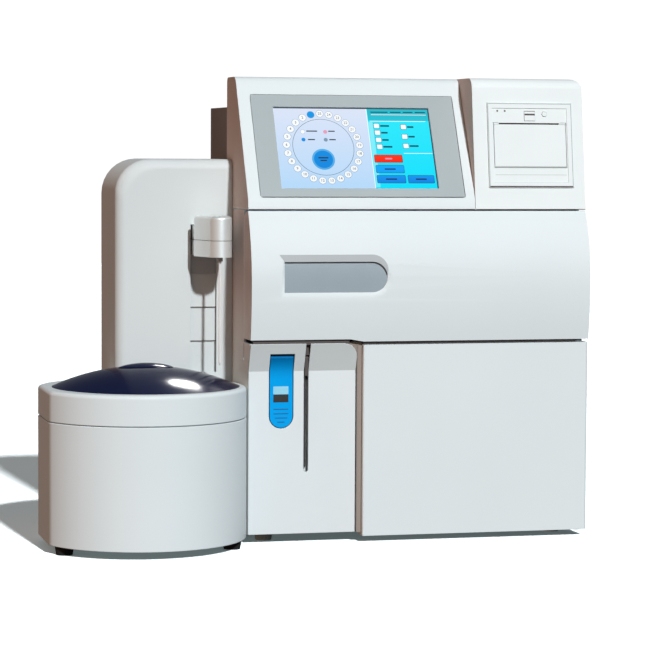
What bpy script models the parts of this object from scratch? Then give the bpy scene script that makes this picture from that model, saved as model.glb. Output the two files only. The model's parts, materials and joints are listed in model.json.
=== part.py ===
# Blood gas analyzer with a side sample changer, on its feet, in metres, +Z up.
# Pieces are drawn in the housing's own frame: x from the main body's left side,
# y back from the front plane of the reagent door, z up from the housing's bottom edge.

import math

import bmesh
import bpy
from mathutils import Matrix, Vector

# Main body: the display and the printer share its width
DISPLAY_WIDTH = 0.223
PRINTER_WIDTH = 0.1115
SHELL_DEPTH = 0.113
BLOCK_HEIGHT = 0.1809
HEAD_BASE = 0.30865
HEAD_HEIGHT = 0.12635
WALL = 0.0025
PLATE = 0.003
FOOT_HEIGHT = 0.0083
FOOT_RADIUS = 0.009
FOOT_INSET = 0.022

# Clearances
SEAT_GAP = 0.0003
RUN_GAP = 0.0008
PANEL_SEAM = 0.0011
OVERRUN = 0.005

# Rear housing
REAR_DEPTH = 0.137
REAR_INSET = 0.010
REAR_DROP = 0.028
REAR_RADIUS = 0.008
LOUVRE_COUNT = 7
LOUVRE_PITCH = 0.012
LOUVRE_HEIGHT = 0.0035
LOUVRE_LENGTH = 0.045
LOUVRE_SPREAD = 0.055
LOUVRE_LOW = 0.240
INLET_X = 0.070
INLET_Z = 0.050
INLET_WIDTH = 0.047
INLET_HEIGHT = 0.027
INLET_DEPTH = 0.020
INLET_SOCKET_WIDTH = 0.024
INLET_SOCKET_HEIGHT = 0.016
INLET_SOCKET_DEPTH = 0.015
INLET_PIN_WIDTH = 0.002
INLET_PIN_LENGTH = 0.011
INLET_PIN_PITCH = 0.007
SWITCH_X = 0.125
SWITCH_WIDTH = 0.013
SWITCH_HEIGHT = 0.020
SWITCH_DEPTH = 0.008
SWITCH_BEND = 0.0012
SWITCH_FRAME = 0.003

# Sampling bay panel
BAY_WIDTH = 0.1045
BAY_FACE = 0.0103
BAY_SLOPE_HEIGHT = 0.0265
BAY_RISE = 0.0018
BAY_LIFT = 0.0010
BAY_CORNER = 0.014
SLOT_X = 0.0561
SLOT_WIDTH = 0.0045
SLOT_BELOW_FOLD = 0.0965

# Sample lever and needle
LEVER_LEFT = 0.0208
LEVER_WIDTH = 0.0222
LEVER_BELOW_FOLD = 0.0538
LEVER_PIVOT_RISE = 0.0110
LEVER_SETBACK = 0.0048
SHAFT_RADIUS = 0.00175
BRACKET_GAP = 0.0012
NEEDLE_RADIUS = 0.001
NEEDLE_TIP_RISE = 0.0038
NEEDLE_SETBACK = 0.0050
HOLDER_WIDTH = 0.0034
HOLDER_HEIGHT = 0.016

# Middle door
GROOVE_WIDTH = 0.005
DOOR_SEAM = 0.00115
DOOR_CLEAR = 0.0021
DOOR_STEP = 0.0034
DOOR_STEP_BACK = 0.0090
DOOR_TOP_Y = 0.0132
DOOR_BULGE_Y = -0.0045
DOOR_BULGE_SHARE = 0.4466
DOOR_LOW_Y = 0.0005
DOOR_BACK = 0.0305
DOOR_PIVOT_Y = 0.016
DOOR_PIVOT_DROP = 0.0040
DOOR_TOP_LIP = 0.001
DOOR_CORNER = 0.0015
LUG_INSET = 0.007
LUG_WIDTH = 0.004
LUG_HALF = 0.003
DOOR_PIN_RADIUS = 0.0012
BRACKET_REACH = 0.030
BRACKET_HEIGHT = 0.008
BRACKET_DROP = 0.004

# Window of the middle door
WINDOW_LEFT = 0.0319
WINDOW_RIGHT = 0.1323
WINDOW_BELOW_BULGE = 0.0077
WINDOW_ABOVE_BULGE = 0.0215
WINDOW_BEVEL = 0.0055
WINDOW_BEVEL_LOW = 0.0070
WINDOW_BEVEL_DEPTH = 0.0025
WINDOW_SKIRT = 0.002
WINDOW_THICK = 0.0015

# Reagent door
REAGENT_DOOR_DEPTH = 0.016
REAGENT_EDGE = 0.003
REAGENT_PIVOT_INSET = 0.007
REAGENT_PIVOT_Y = 0.0095
KNUCKLE_RADIUS = 0.0032
KNUCKLE_LENGTH = 0.020
KNUCKLE_BORE = 0.0002
REAGENT_PIN_RADIUS = 0.0015
REAGENT_DOOR_DROP = 0.0016
HINGE_TAB = 0.0012

# Heads on top
BAND_BASE_Y = 0.0122
BAND_TOP_Y = 0.0140
BAND_HEIGHT = 0.01085
DISPLAY_TILT = math.radians(27.4)
PRINTER_TILT = math.radians(7.9)
HEAD_CREST = 0.011
HEAD_SHOULDER = 0.009
BEZEL_LEFT = 0.0124
BEZEL_RIGHT_INSET = 0.0095
BEZEL_LOW = 0.0010
BEZEL_HIGH = 0.1107
BEZEL_CORNER = 0.003
BEZEL_THICK = 0.002
BEZEL_PROUD = 0.0004
SCREEN_INSET = 0.0214
SCREEN_RIGHT_INSET = 0.0256
SCREEN_LOW = 0.0106
SCREEN_HEIGHT = 0.0866
SCREEN_THICK = 0.0016
SCREEN_SINK = 0.0008

# Printer, in the printer face's own plane
FASCIA_LEFT_INSET = 0.0146
FASCIA_RIGHT_INSET = 0.0115
FASCIA_LOW = 0.0103
FASCIA_HIGH = 0.0925
FASCIA_PROUD = 0.0012
FASCIA_THICK = 0.0024
FASCIA_CORNER = 0.0012
PANEL_MARGIN = 0.005
PANEL_SINK = 0.0008
STRIP_HEIGHT = 0.0142
PAPER_SLOT_WIDTH = 0.0566
PAPER_SLOT_HEIGHT = 0.0014
PRINTER_DOOR_THICK = 0.003
LATCH_WIDTH = 0.0107
LATCH_HEIGHT = 0.009
LATCH_DEPTH = 0.004
LATCH_CLEAR_Z = 0.0021
BUTTON_RADIUS = 0.0024
BUTTON_X_SHARE = 0.70
BUTTON_DEPTH = 0.004
BUCKET_GROW = 0.001
BUCKET_DEPTH = 0.046
BUCKET_WALL = 0.0015
ROLL_RADIUS = 0.013
ROLL_WIDTH = 0.057
ROLL_CORE = 0.004
PLATEN_RADIUS = 0.003
PLATEN_DROP = 0.006

# Inside the main body
SHELF_RISE = 0.0005
PACK_MARGIN = 0.016
PACK_DEPTH = 0.070
PACK_HEIGHT = 0.135
PACK_CORNER = 0.006
PORT_RADIUS = 0.006
PORT_LENGTH = 0.008
PORT_COUNT = 4
ELECTRODE_COUNT = 6
ELECTRODE_PITCH = 0.0165
ELECTRODE_WIDTH = 0.0150
ELECTRODE_LEFT = 0.034
ELECTRODE_HEIGHT = 0.036
ELECTRODE_DEPTH = 0.024
ELECTRODE_CAP_RADIUS = 0.0055
ELECTRODE_CAP_LENGTH = 0.006
MANIFOLD_DEPTH = 0.030
MANIFOLD_LIP = 0.005
PUMP_INSET = 0.0995
PUMP_SIZE = 0.062
PUMP_DEPTH = 0.034
PUMP_POCKET_RADIUS = 0.025
PUMP_POCKET_DEPTH = 0.016
PUMP_ROTOR_RADIUS = 0.018
PUMP_ROLLER_RADIUS = 0.004
PUMP_ROLLER_COUNT = 4
PUMP_CORNER = 0.006

# Sample changer tub
TUB_RADIUS = 0.099
TUB_FLAT = 0.0925
TUB_Y = 0.0275
TUB_HEIGHT = 0.1429
TUB_RING_HEIGHT = 0.0291
TUB_RIM_RADIUS = 0.004
TUB_FOOT_CIRCLE = 0.088
TUB_FOOT_LEFT = math.radians(-153)
TUB_FOOT_RIGHT = math.radians(-25)
DECK_THICK = 0.004
DECK_REBATE = 0.002
SKIRT_DROP = 0.006

# Lid, set a little towards the main body in the tub
LID_SHIFT = 0.0045
LID_RADIUS = 0.088
LID_RISE = 0.0190
LID_WALL = 0.002
LID_EDGE = 0.0015
LID_COLUMN_GAP = 0.002
LID_HOLE_RADIUS = 0.005
GRIP_LENGTH = 0.062
GRIP_WIDTH = 0.036
GRIP_RISE = 0.0030
GRIP_SINK = 0.0060

# Carousel
TRAY_RADIUS = 0.0835
TRAY_FLOOR = 0.003
TRAY_HEIGHT = 0.048
TRAY_DROP = 0.0269
TROUGH_WIDTH = 0.017
KNOB_RADIUS = 0.012
KNOB_HEIGHT = 0.010
SPINDLE_RADIUS = 0.004
TURN_MOTOR_SIZE = 0.042
TURN_MOTOR_HEIGHT = 0.038

# Column and sampling arm
COLUMN_WIDTH = 0.1136
COLUMN_FRONT = 0.0839
COLUMN_DEPTH = 0.0899
COLUMN_HEIGHT = 0.3557
COLUMN_SHOULDER = 0.034
COLUMN_EDGE = 0.010
TRACK_RIGHT_INSET = 0.0159
TRACK_WIDTH = 0.0254
TRACK_RISE = 0.0071
SHUTTER_PITCH = 0.0328
SHUTTER_LOW = 0.1817
SHUTTER_THICK = 0.0010
SHUTTER_LAP = 0.002
ARM_WIDTH = 0.0224
ARM_LOW = 0.2633
ARM_SEAM = 0.2790
ARM_TOP = 0.3020
ARM_EDGE = 0.003
ARM_BACK_Y = 0.0630
ARM_LEFT = -0.0421
NECK_DROP = 0.010
NOSE_X = -0.0226
NOSE_Y = 0.0340
PROBE_RADIUS = 0.00125
PROBE_TIP_RISE = 0.0176
COLLAR_RADIUS = 0.0026
COLLAR_LENGTH = 0.004
CARRIAGE_DEPTH = 0.030
CARRIAGE_HEIGHT = 0.034
ROD_RADIUS = 0.004
ROD_SPREAD = 0.034
ROD_WALL = 0.003
ROD_Y = 0.118
SCREW_RADIUS = 0.003
SCREW_Y = 0.134
LIFT_DROP = 0.014
LIFT_PLATE = 0.003
LIFT_MOTOR_SIZE = 0.036
LIFT_MOTOR_HEIGHT = 0.040

# How finely round forms are cut
ROUND_STEPS = 24
TUB_STEPS = 80
CORNER_STEPS = 5
BULGE_STEPS = 10

# Places worked out from the sizes above
BODY_WIDTH = DISPLAY_WIDTH + PRINTER_WIDTH
HEAD_SPLIT = DISPLAY_WIDTH
HEAD_TOP = HEAD_BASE + HEAD_HEIGHT
REAR_HEIGHT = HEAD_TOP - REAR_DROP
BAND_TOP_Z = HEAD_BASE + BAND_HEIGHT
BEZEL_RIGHT = HEAD_SPLIT - BEZEL_RIGHT_INSET
SCREEN_LEFT = BEZEL_LEFT + SCREEN_INSET
SCREEN_RIGHT = BEZEL_RIGHT - SCREEN_RIGHT_INSET
FASCIA_LEFT = HEAD_SPLIT + FASCIA_LEFT_INSET
FASCIA_RIGHT = BODY_WIDTH - FASCIA_RIGHT_INSET
BAY_TOP = BLOCK_HEIGHT + BAY_RISE
BAY_FOLD = BAY_TOP - BAY_SLOPE_HEIGHT
SLOT_LOW = BAY_FOLD - SLOT_BELOW_FOLD
LEVER_LOW = BAY_FOLD - LEVER_BELOW_FOLD
LEVER_PIVOT_Z = BAY_FOLD + LEVER_PIVOT_RISE
NEEDLE_TIP_Z = SLOT_LOW + NEEDLE_TIP_RISE
DOOR_TOP = HEAD_BASE - DOOR_SEAM
DOOR_LOW = BLOCK_HEIGHT + DOOR_CLEAR
DOOR_LOW_OVER_BAY = DOOR_LOW + DOOR_STEP
DOOR_STEP_X = BAY_WIDTH - DOOR_STEP_BACK
DOOR_BULGE_Z = DOOR_LOW + (DOOR_TOP - DOOR_LOW) * DOOR_BULGE_SHARE
DOOR_PIVOT_Z = DOOR_TOP - DOOR_PIVOT_DROP
WINDOW_LOW = DOOR_BULGE_Z - WINDOW_BELOW_BULGE
WINDOW_HIGH = DOOR_BULGE_Z + WINDOW_ABOVE_BULGE
SHELF_Z = DOOR_LOW + SHELF_RISE
CHAMBER_Z = (SHELF_Z + HEAD_BASE) / 2
PUMP_X = BODY_WIDTH - PUMP_INSET
TUB_X = -(TUB_RADIUS + SEAT_GAP)
LID_X = TUB_X + LID_SHIFT
TUB_SEAM_Z = TUB_HEIGHT - TUB_RING_HEIGHT
TRAY_TOP = TUB_HEIGHT - TRAY_DROP
TRAY_LOW = TRAY_TOP - TRAY_HEIGHT
HUB_RADIUS = TRAY_RADIUS - WALL - TROUGH_WIDTH
PROBE_TIP_Z = TUB_HEIGHT + PROBE_TIP_RISE
TRACK_LOW = TUB_HEIGHT + TRACK_RISE
LIFT_LOW = TRACK_LOW
LIFT_HIGH = COLUMN_HEIGHT - LIFT_DROP
NECK_TOP = ARM_TOP - NECK_DROP
OVERALL_WIDTH = BODY_WIDTH - TUB_X + TUB_FLAT
FRONT_REACH = TUB_RADIUS - TUB_Y
OVERALL_DEPTH = FRONT_REACH + SHELL_DEPTH + REAR_DEPTH
BODY_LEFT = OVERALL_WIDTH / 2 - BODY_WIDTH
BODY_FRONT = FRONT_REACH - OVERALL_DEPTH / 2
TRACK_X = -(TRACK_RIGHT_INSET + TRACK_WIDTH / 2)
COLUMN_RIGHT = -SEAT_GAP
COLUMN_LEFT = COLUMN_RIGHT - COLUMN_WIDTH
BAY_SLOPE = BAY_FACE / (BAY_TOP - BAY_FOLD)
BULKHEAD_Y = SHELL_DEPTH - PLATE
BLOCK_LEFT = BAY_WIDTH + GROOVE_WIDTH
REAGENT_SWING = math.hypot(REAGENT_PIVOT_INSET, REAGENT_DOOR_DEPTH - REAGENT_PIVOT_Y)
BEHIND_REAGENT_DOOR = REAGENT_PIVOT_Y + REAGENT_SWING + RUN_GAP


def clear_scene():
    for item in list(bpy.data.objects):
        bpy.data.objects.remove(item)


def linear(value):
    return value / 12.92 if value <= 0.04045 else ((value + 0.055) / 1.055) ** 2.4


def finish(name, colour, roughness, metallic=0.0, alpha=1.0):
    """A Principled material from an sRGB hex colour."""
    made = bpy.data.materials.new(name)
    made.use_nodes = True
    shader = made.node_tree.nodes["Principled BSDF"]
    rgb = [linear(int(colour[i:i + 2], 16) / 255) for i in (0, 2, 4)]
    shader.inputs["Base Color"].default_value = (*rgb, 1.0)
    shader.inputs["Roughness"].default_value = roughness
    shader.inputs["Metallic"].default_value = metallic
    shader.inputs["Alpha"].default_value = alpha
    made.diffuse_color = (*rgb, alpha)
    return made


def empty(name, place, parent=None, tilt=0.0):
    made = bpy.data.objects.new(name, None)
    bpy.context.scene.collection.objects.link(made)
    made.parent = parent
    made.location = place
    made.rotation_euler = (tilt, 0.0, 0.0)
    return made


def piece(name, shape, material, pivot=(0.0, 0.0, 0.0), parent=None):
    """An object from a bmesh drawn in its parent's frame, with its origin at pivot."""
    bmesh.ops.translate(shape, verts=shape.verts, vec=-Vector(pivot))
    mesh = bpy.data.meshes.new(name)
    shape.to_mesh(mesh)
    shape.free()
    mesh.shade_smooth()
    mesh.set_sharp_from_angle(angle=math.radians(30))
    made = bpy.data.objects.new(name, mesh)
    bpy.context.scene.collection.objects.link(made)
    made.parent = parent or HOUSING
    made.location = pivot
    if material:
        mesh.materials.append(material)
    return made


def boolean(target, operation, *shapes, parent=None):
    """Cuts, joins or intersects with shapes drawn in the housing's or parent's frame."""
    for number, shape in enumerate(shapes):
        label = f"{target.name}_{operation.lower()}_{len(target.modifiers)}"
        tool = piece(label, shape, None, parent=parent)
        tool.hide_render = True
        tool.display_type = "WIRE"
        step = target.modifiers.new(f"{operation.lower()}_{number}", "BOOLEAN")
        step.operation = operation
        step.solver = "EXACT"
        step.object = tool
    return target


def cut(target, *shapes, parent=None):
    return boolean(target, "DIFFERENCE", *shapes, parent=parent)


def join(target, *shapes, parent=None):
    return boolean(target, "UNION", *shapes, parent=parent)


def keep(target, *shapes, parent=None):
    return boolean(target, "INTERSECT", *shapes, parent=parent)


def arc(centre, radius, start, end, steps):
    """Points from start to end, in degrees, on a circle."""
    turns = [math.radians(start + (end - start) * i / steps) for i in range(steps + 1)]
    return [(centre[0] + radius * math.cos(t), centre[1] + radius * math.sin(t)) for t in turns]


def circle(centre, radius, steps=ROUND_STEPS):
    return arc(centre, radius, 0, 360, steps)[:-1]


def rounded(points, radii, steps=CORNER_STEPS):
    """An outline with each corner turned to an arc of the radius given for it."""
    outline = []
    count = len(points)
    for i, radius in enumerate(radii):
        corner = Vector(points[i])
        before = (Vector(points[i - 1]) - corner)
        after = (Vector(points[(i + 1) % count]) - corner)
        if radius <= 0:
            outline.append(tuple(corner))
            continue
        half = before.angle(after) / 2
        reach = radius / math.tan(half)
        start = corner + before.normalized() * reach
        end = corner + after.normalized() * reach
        inward = (before.normalized() + after.normalized()).normalized()
        middle = corner + inward * radius / math.sin(half)
        first = start - middle
        sweep = first.angle_signed(end - middle)
        for step in range(steps + 1):
            turn = Matrix.Rotation(-sweep * step / steps, 2)
            outline.append(tuple(middle + turn @ first))
    return outline


def rectangle(low_a, high_a, low_b, high_b):
    return [(low_a, low_b), (high_a, low_b), (high_a, high_b), (low_a, high_b)]


def grown(low_a, high_a, low_b, high_b):
    """A rectangle with the seating gap added all round."""
    return rectangle(low_a - SEAT_GAP, high_a + SEAT_GAP, low_b - SEAT_GAP, high_b + SEAT_GAP)


def inset(outline, wall):
    """The outline moved inwards by wall, with its edges kept parallel."""
    area = sum(a[0] * b[1] - b[0] * a[1] for a, b in zip(outline, outline[1:] + outline[:1]))
    side = 1 if area > 0 else -1
    moved = []
    for i, corner in enumerate(outline):
        before = (Vector(corner) - Vector(outline[i - 1])).normalized()
        after = (Vector(outline[(i + 1) % len(outline)]) - Vector(corner)).normalized()
        normal_a = Vector((-before.y, before.x)) * side
        normal_b = Vector((-after.y, after.x)) * side
        moved.append(tuple(Vector(corner) + (normal_a + normal_b) * wall / (1 + normal_a.dot(normal_b))))
    return moved


def set_in(axis, along, point):
    """A 3-D point from a point of an outline that is drawn square to an axis."""
    a, b = point
    return {"X": (along, a, b), "Y": (a, along, b), "Z": (a, b, along)}[axis]


def loft(axis, sections):
    """A closed skin over outlines of equal count, each given as (place, outline)."""
    shape = bmesh.new()
    rings = []
    for place, outline in sections:
        rings.append([shape.verts.new(set_in(axis, place, p)) for p in outline])
    shape.faces.new(rings[0])
    shape.faces.new(rings[-1])
    for low, high in zip(rings, rings[1:]):
        for i in range(len(low)):
            j = (i + 1) % len(low)
            shape.faces.new((low[i], low[j], high[j], high[i]))
    bmesh.ops.recalc_face_normals(shape, faces=shape.faces)
    return shape


def prism(axis, low, high, outline):
    return loft(axis, [(low, outline), (high, outline)])


def block(x, y, z):
    return prism("Z", z[0], z[1], rectangle(x[0], x[1], y[0], y[1]))


def rod(axis, low, high, centre, radius, steps=ROUND_STEPS):
    return prism(axis, low, high, circle(centre, radius, steps))


def merge(*shapes):
    """Several separate solids in one bmesh."""
    whole = bmesh.new()
    for shape in shapes:
        part = bpy.data.meshes.new("part")
        shape.to_mesh(part)
        shape.free()
        whole.from_mesh(part)
        bpy.data.meshes.remove(part)
    return whole


def turned(profile, centre, steps):
    """A solid turned from (radius, z) points that start and end on the axis."""
    shape = bmesh.new()
    line = [shape.verts.new((r, 0.0, z)) for r, z in profile]
    edges = [shape.edges.new(pair) for pair in zip(line, line[1:])]
    bmesh.ops.spin(
        shape, geom=line + edges, cent=(0, 0, 0), axis=(0, 0, 1),
        angle=math.tau, steps=steps, use_merge=True,
    )
    bmesh.ops.remove_doubles(shape, verts=shape.verts, dist=SEAT_GAP / 100)
    bmesh.ops.recalc_face_normals(shape, faces=shape.faces)
    bmesh.ops.translate(shape, verts=shape.verts, vec=(centre[0], centre[1], 0))
    return shape


def tub_outline(shrink=0.0):
    """The tub seen from above: a circle with its left side cut flat."""
    radius = TUB_RADIUS - shrink
    half = math.degrees(math.acos((TUB_FLAT - shrink) / radius))
    return arc((TUB_X, TUB_Y), radius, half - 180, 180 - half, TUB_STEPS)


def bay_front(z):
    """Where the sampling bay's front skin lies at a height."""
    return BAY_FACE - max(0.0, z - BAY_FOLD) * BAY_SLOPE


def bay_band(low, high, front, back):
    """A side outline between two depths behind the bay's folded front skin."""
    levels = [low, *[z for z in (BAY_FOLD,) if low < z < high], high]
    near = [(bay_front(z) + front, z) for z in levels]
    far = [(bay_front(z) + back, z) for z in reversed(levels)]
    return near + far


def make_feet():
    """Rubber feet under the main body and under the tub."""
    x = {"left": FOOT_INSET, "right": BODY_WIDTH - FOOT_INSET}
    y = {"front": FOOT_INSET + BEHIND_REAGENT_DOOR, "rear": SHELL_DEPTH + REAR_DEPTH - FOOT_INSET}
    places = {f"foot_{end}_{side}": (x[side], y[end]) for side in x for end in y}
    for side, turn in (("left", TUB_FOOT_LEFT), ("right", TUB_FOOT_RIGHT)):
        places[f"tub_foot_{side}"] = (
            TUB_X + TUB_FOOT_CIRCLE * math.cos(turn), TUB_Y + TUB_FOOT_CIRCLE * math.sin(turn))
    for name, place in places.items():
        pad = loft("Z", [
            (-FOOT_HEIGHT, circle(place, FOOT_RADIUS - WALL / 2)),
            (-SEAT_GAP, circle(place, FOOT_RADIUS)),
        ])
        piece(name, pad, RUBBER)


def make_side_panels():
    """Moulded side walls, whose front edges stop behind the doors and the bay panel."""
    top = HEAD_BASE - SEAT_GAP
    behind_door = DOOR_BACK + RUN_GAP
    left = [
        *reversed([(bay_front(z) + WALL + SEAT_GAP, z) for z in (0.0, BAY_FOLD, BAY_TOP)]),
        (SHELL_DEPTH, 0.0), (SHELL_DEPTH, top), (behind_door, top), (behind_door, BAY_TOP),
    ]
    piece("left_side_panel", prism("X", 0.0, WALL, left), HOUSING_WHITE)
    clear = BEHIND_REAGENT_DOOR
    right = [
        (clear, 0.0), (SHELL_DEPTH, 0.0), (SHELL_DEPTH, top), (behind_door, top),
        (behind_door, BLOCK_HEIGHT), (clear, BLOCK_HEIGHT),
    ]
    piece("right_side_panel", prism("X", BODY_WIDTH - WALL, BODY_WIDTH, right), HOUSING_WHITE)


def make_chassis():
    """The plates inside the light housing: base with the wall beside the bay, bulkhead and shelf."""
    x = (WALL + SEAT_GAP, BODY_WIDTH - WALL - SEAT_GAP)
    front = BEHIND_REAGENT_DOOR
    base = piece("base_plate", block(x, (front, BULKHEAD_Y - SEAT_GAP), (0.0, PLATE)), STEEL)
    bulkhead = block(x, (BULKHEAD_Y, SHELL_DEPTH), (0.0, HEAD_BASE - SEAT_GAP))
    piece("bulkhead", bulkhead, STEEL)
    shelf = block(x, (DOOR_BACK + RUN_GAP, BULKHEAD_Y - SEAT_GAP), (SHELF_Z, SHELF_Z + PLATE))
    piece("middle_shelf", shelf, STEEL)
    wall = (BAY_WIDTH + SEAT_GAP, BAY_WIDTH + SEAT_GAP + PLATE)
    join(base, block(wall, (front, BULKHEAD_Y - SEAT_GAP), (0.0, SHELF_Z - SEAT_GAP)))


def make_rear_housing():
    """The dark rear cover: an open-fronted box with louvres, a power inlet and a rocker switch."""
    x = (REAR_INSET, BODY_WIDTH - REAR_INSET)
    y = (SHELL_DEPTH + SEAT_GAP, SHELL_DEPTH + REAR_DEPTH)
    plan = rounded(rectangle(x[0], x[1], y[0], y[1]), (0.0, 0.0, REAR_RADIUS, REAR_RADIUS))
    cover = piece("rear_cover", prism("Z", 0.0, REAR_HEIGHT, plan), HOUSING_DARK)
    hollow = block((x[0] + WALL, x[1] - WALL), (y[0] - OVERRUN, y[1] - WALL), (WALL, REAR_HEIGHT - WALL))
    cut(cover, hollow)
    middle = BODY_WIDTH / 2
    slots = []
    for row in range(LOUVRE_COUNT):
        z = LOUVRE_LOW + row * LOUVRE_PITCH
        for side in (-1, 1):
            centre = middle + side * LOUVRE_SPREAD / 2
            slots.append(block(
                (centre - LOUVRE_LENGTH / 2, centre + LOUVRE_LENGTH / 2),
                (y[1] - WALL - OVERRUN, y[1] + OVERRUN), (z, z + LOUVRE_HEIGHT),
            ))
    cut(cover, merge(*slots))
    inlet_x = (INLET_X - INLET_WIDTH / 2, SWITCH_X + SWITCH_WIDTH / 2 + SWITCH_FRAME)
    inlet_z = (INLET_Z - INLET_HEIGHT / 2, INLET_Z + INLET_HEIGHT / 2)
    cut(cover, block(
        (inlet_x[0] - SEAT_GAP, inlet_x[1] + SEAT_GAP), (y[1] - INLET_DEPTH, y[1] + OVERRUN),
        (inlet_z[0] - SEAT_GAP, inlet_z[1] + SEAT_GAP),
    ))
    inlet = piece("power_inlet", block(inlet_x, (y[1] - INLET_DEPTH, y[1]), inlet_z), BLACK)
    socket_x = (INLET_X - INLET_SOCKET_WIDTH / 2, INLET_X + INLET_SOCKET_WIDTH / 2)
    socket_z = (INLET_Z - INLET_SOCKET_HEIGHT / 2, INLET_Z + INLET_SOCKET_HEIGHT / 2)
    socket = block(socket_x, (y[1] - INLET_SOCKET_DEPTH, y[1] + OVERRUN), socket_z)
    cut(inlet, socket)
    pins = []
    for side in (-1, 0, 1):
        pin_x = INLET_X + side * INLET_PIN_PITCH
        pin_z = INLET_Z + (0.0 if side else INLET_PIN_WIDTH)
        pins.append(block(
            (pin_x - INLET_PIN_WIDTH / 2, pin_x + INLET_PIN_WIDTH / 2),
            (y[1] - INLET_SOCKET_DEPTH - SEAT_GAP, y[1] - INLET_SOCKET_DEPTH + INLET_PIN_LENGTH),
            (pin_z - INLET_PIN_WIDTH, pin_z + INLET_PIN_WIDTH),
        ))
    join(inlet, *pins)
    make_power_switch(inlet, y[1])


def make_power_switch(inlet, back):
    """A rocker in a well of the inlet module; it tips about its middle."""
    hole = block(
        (SWITCH_X - SWITCH_WIDTH / 2, SWITCH_X + SWITCH_WIDTH / 2), (back - SWITCH_DEPTH, back + OVERRUN),
        (INLET_Z - SWITCH_HEIGHT / 2, INLET_Z + SWITCH_HEIGHT / 2),
    )
    cut(inlet, hole)
    half = SWITCH_HEIGHT / 2 - RUN_GAP
    face = back - SWITCH_BEND
    deep = back - SWITCH_DEPTH / 2
    outline = [
        (face - SWITCH_BEND, INLET_Z - half), (face - SWITCH_BEND / 2, INLET_Z),
        (face - SWITCH_BEND, INLET_Z + half), (deep, INLET_Z + half / 2), (deep, INLET_Z - half / 2),
    ]
    x = (SWITCH_X - SWITCH_WIDTH / 2 + SEAT_GAP, SWITCH_X + SWITCH_WIDTH / 2 - SEAT_GAP)
    piece("power_switch", prism("X", x[0], x[1], outline), BLACK, pivot=(SWITCH_X, deep, INLET_Z))


def make_bay_panel():
    """The sampling bay's folded front panel, open for the lever and for the needle's swing."""
    skin = prism("X", SEAT_GAP, BAY_WIDTH, bay_band(BAY_LIFT, BAY_TOP, 0.0, WALL))
    panel = piece("bay_panel", skin, HOUSING_WHITE)
    face = rounded(
        rectangle(-OVERRUN, BAY_WIDTH, -OVERRUN, BAY_TOP), (0.0, 0.0, BAY_CORNER, 0.0)
    )
    keep(panel, prism("Y", -OVERRUN, BAY_FACE + WALL + OVERRUN, face))
    depth = (-OVERRUN, BAY_FACE + WALL + OVERRUN)
    slot = slot_outline(SLOT_X, SLOT_WIDTH, SLOT_LOW, BAY_TOP + OVERRUN)
    cut(panel, prism("Y", depth[0], depth[1], slot))
    middle = LEVER_LEFT + LEVER_WIDTH / 2
    pocket = slot_outline(
        middle, LEVER_WIDTH + 2 * RUN_GAP, LEVER_LOW - RUN_GAP, LEVER_PIVOT_Z + LEVER_SETBACK + RUN_GAP
    )
    cut(panel, prism("Y", depth[0], depth[1], pocket))


def slot_outline(middle, width, low, high):
    """A slot that is square at the top and half round at the bottom."""
    half = width / 2
    end = arc((middle, low + half), half, 180, 360, ROUND_STEPS // 2)
    return [(middle - half, high), *end, (middle + half, high)]


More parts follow.
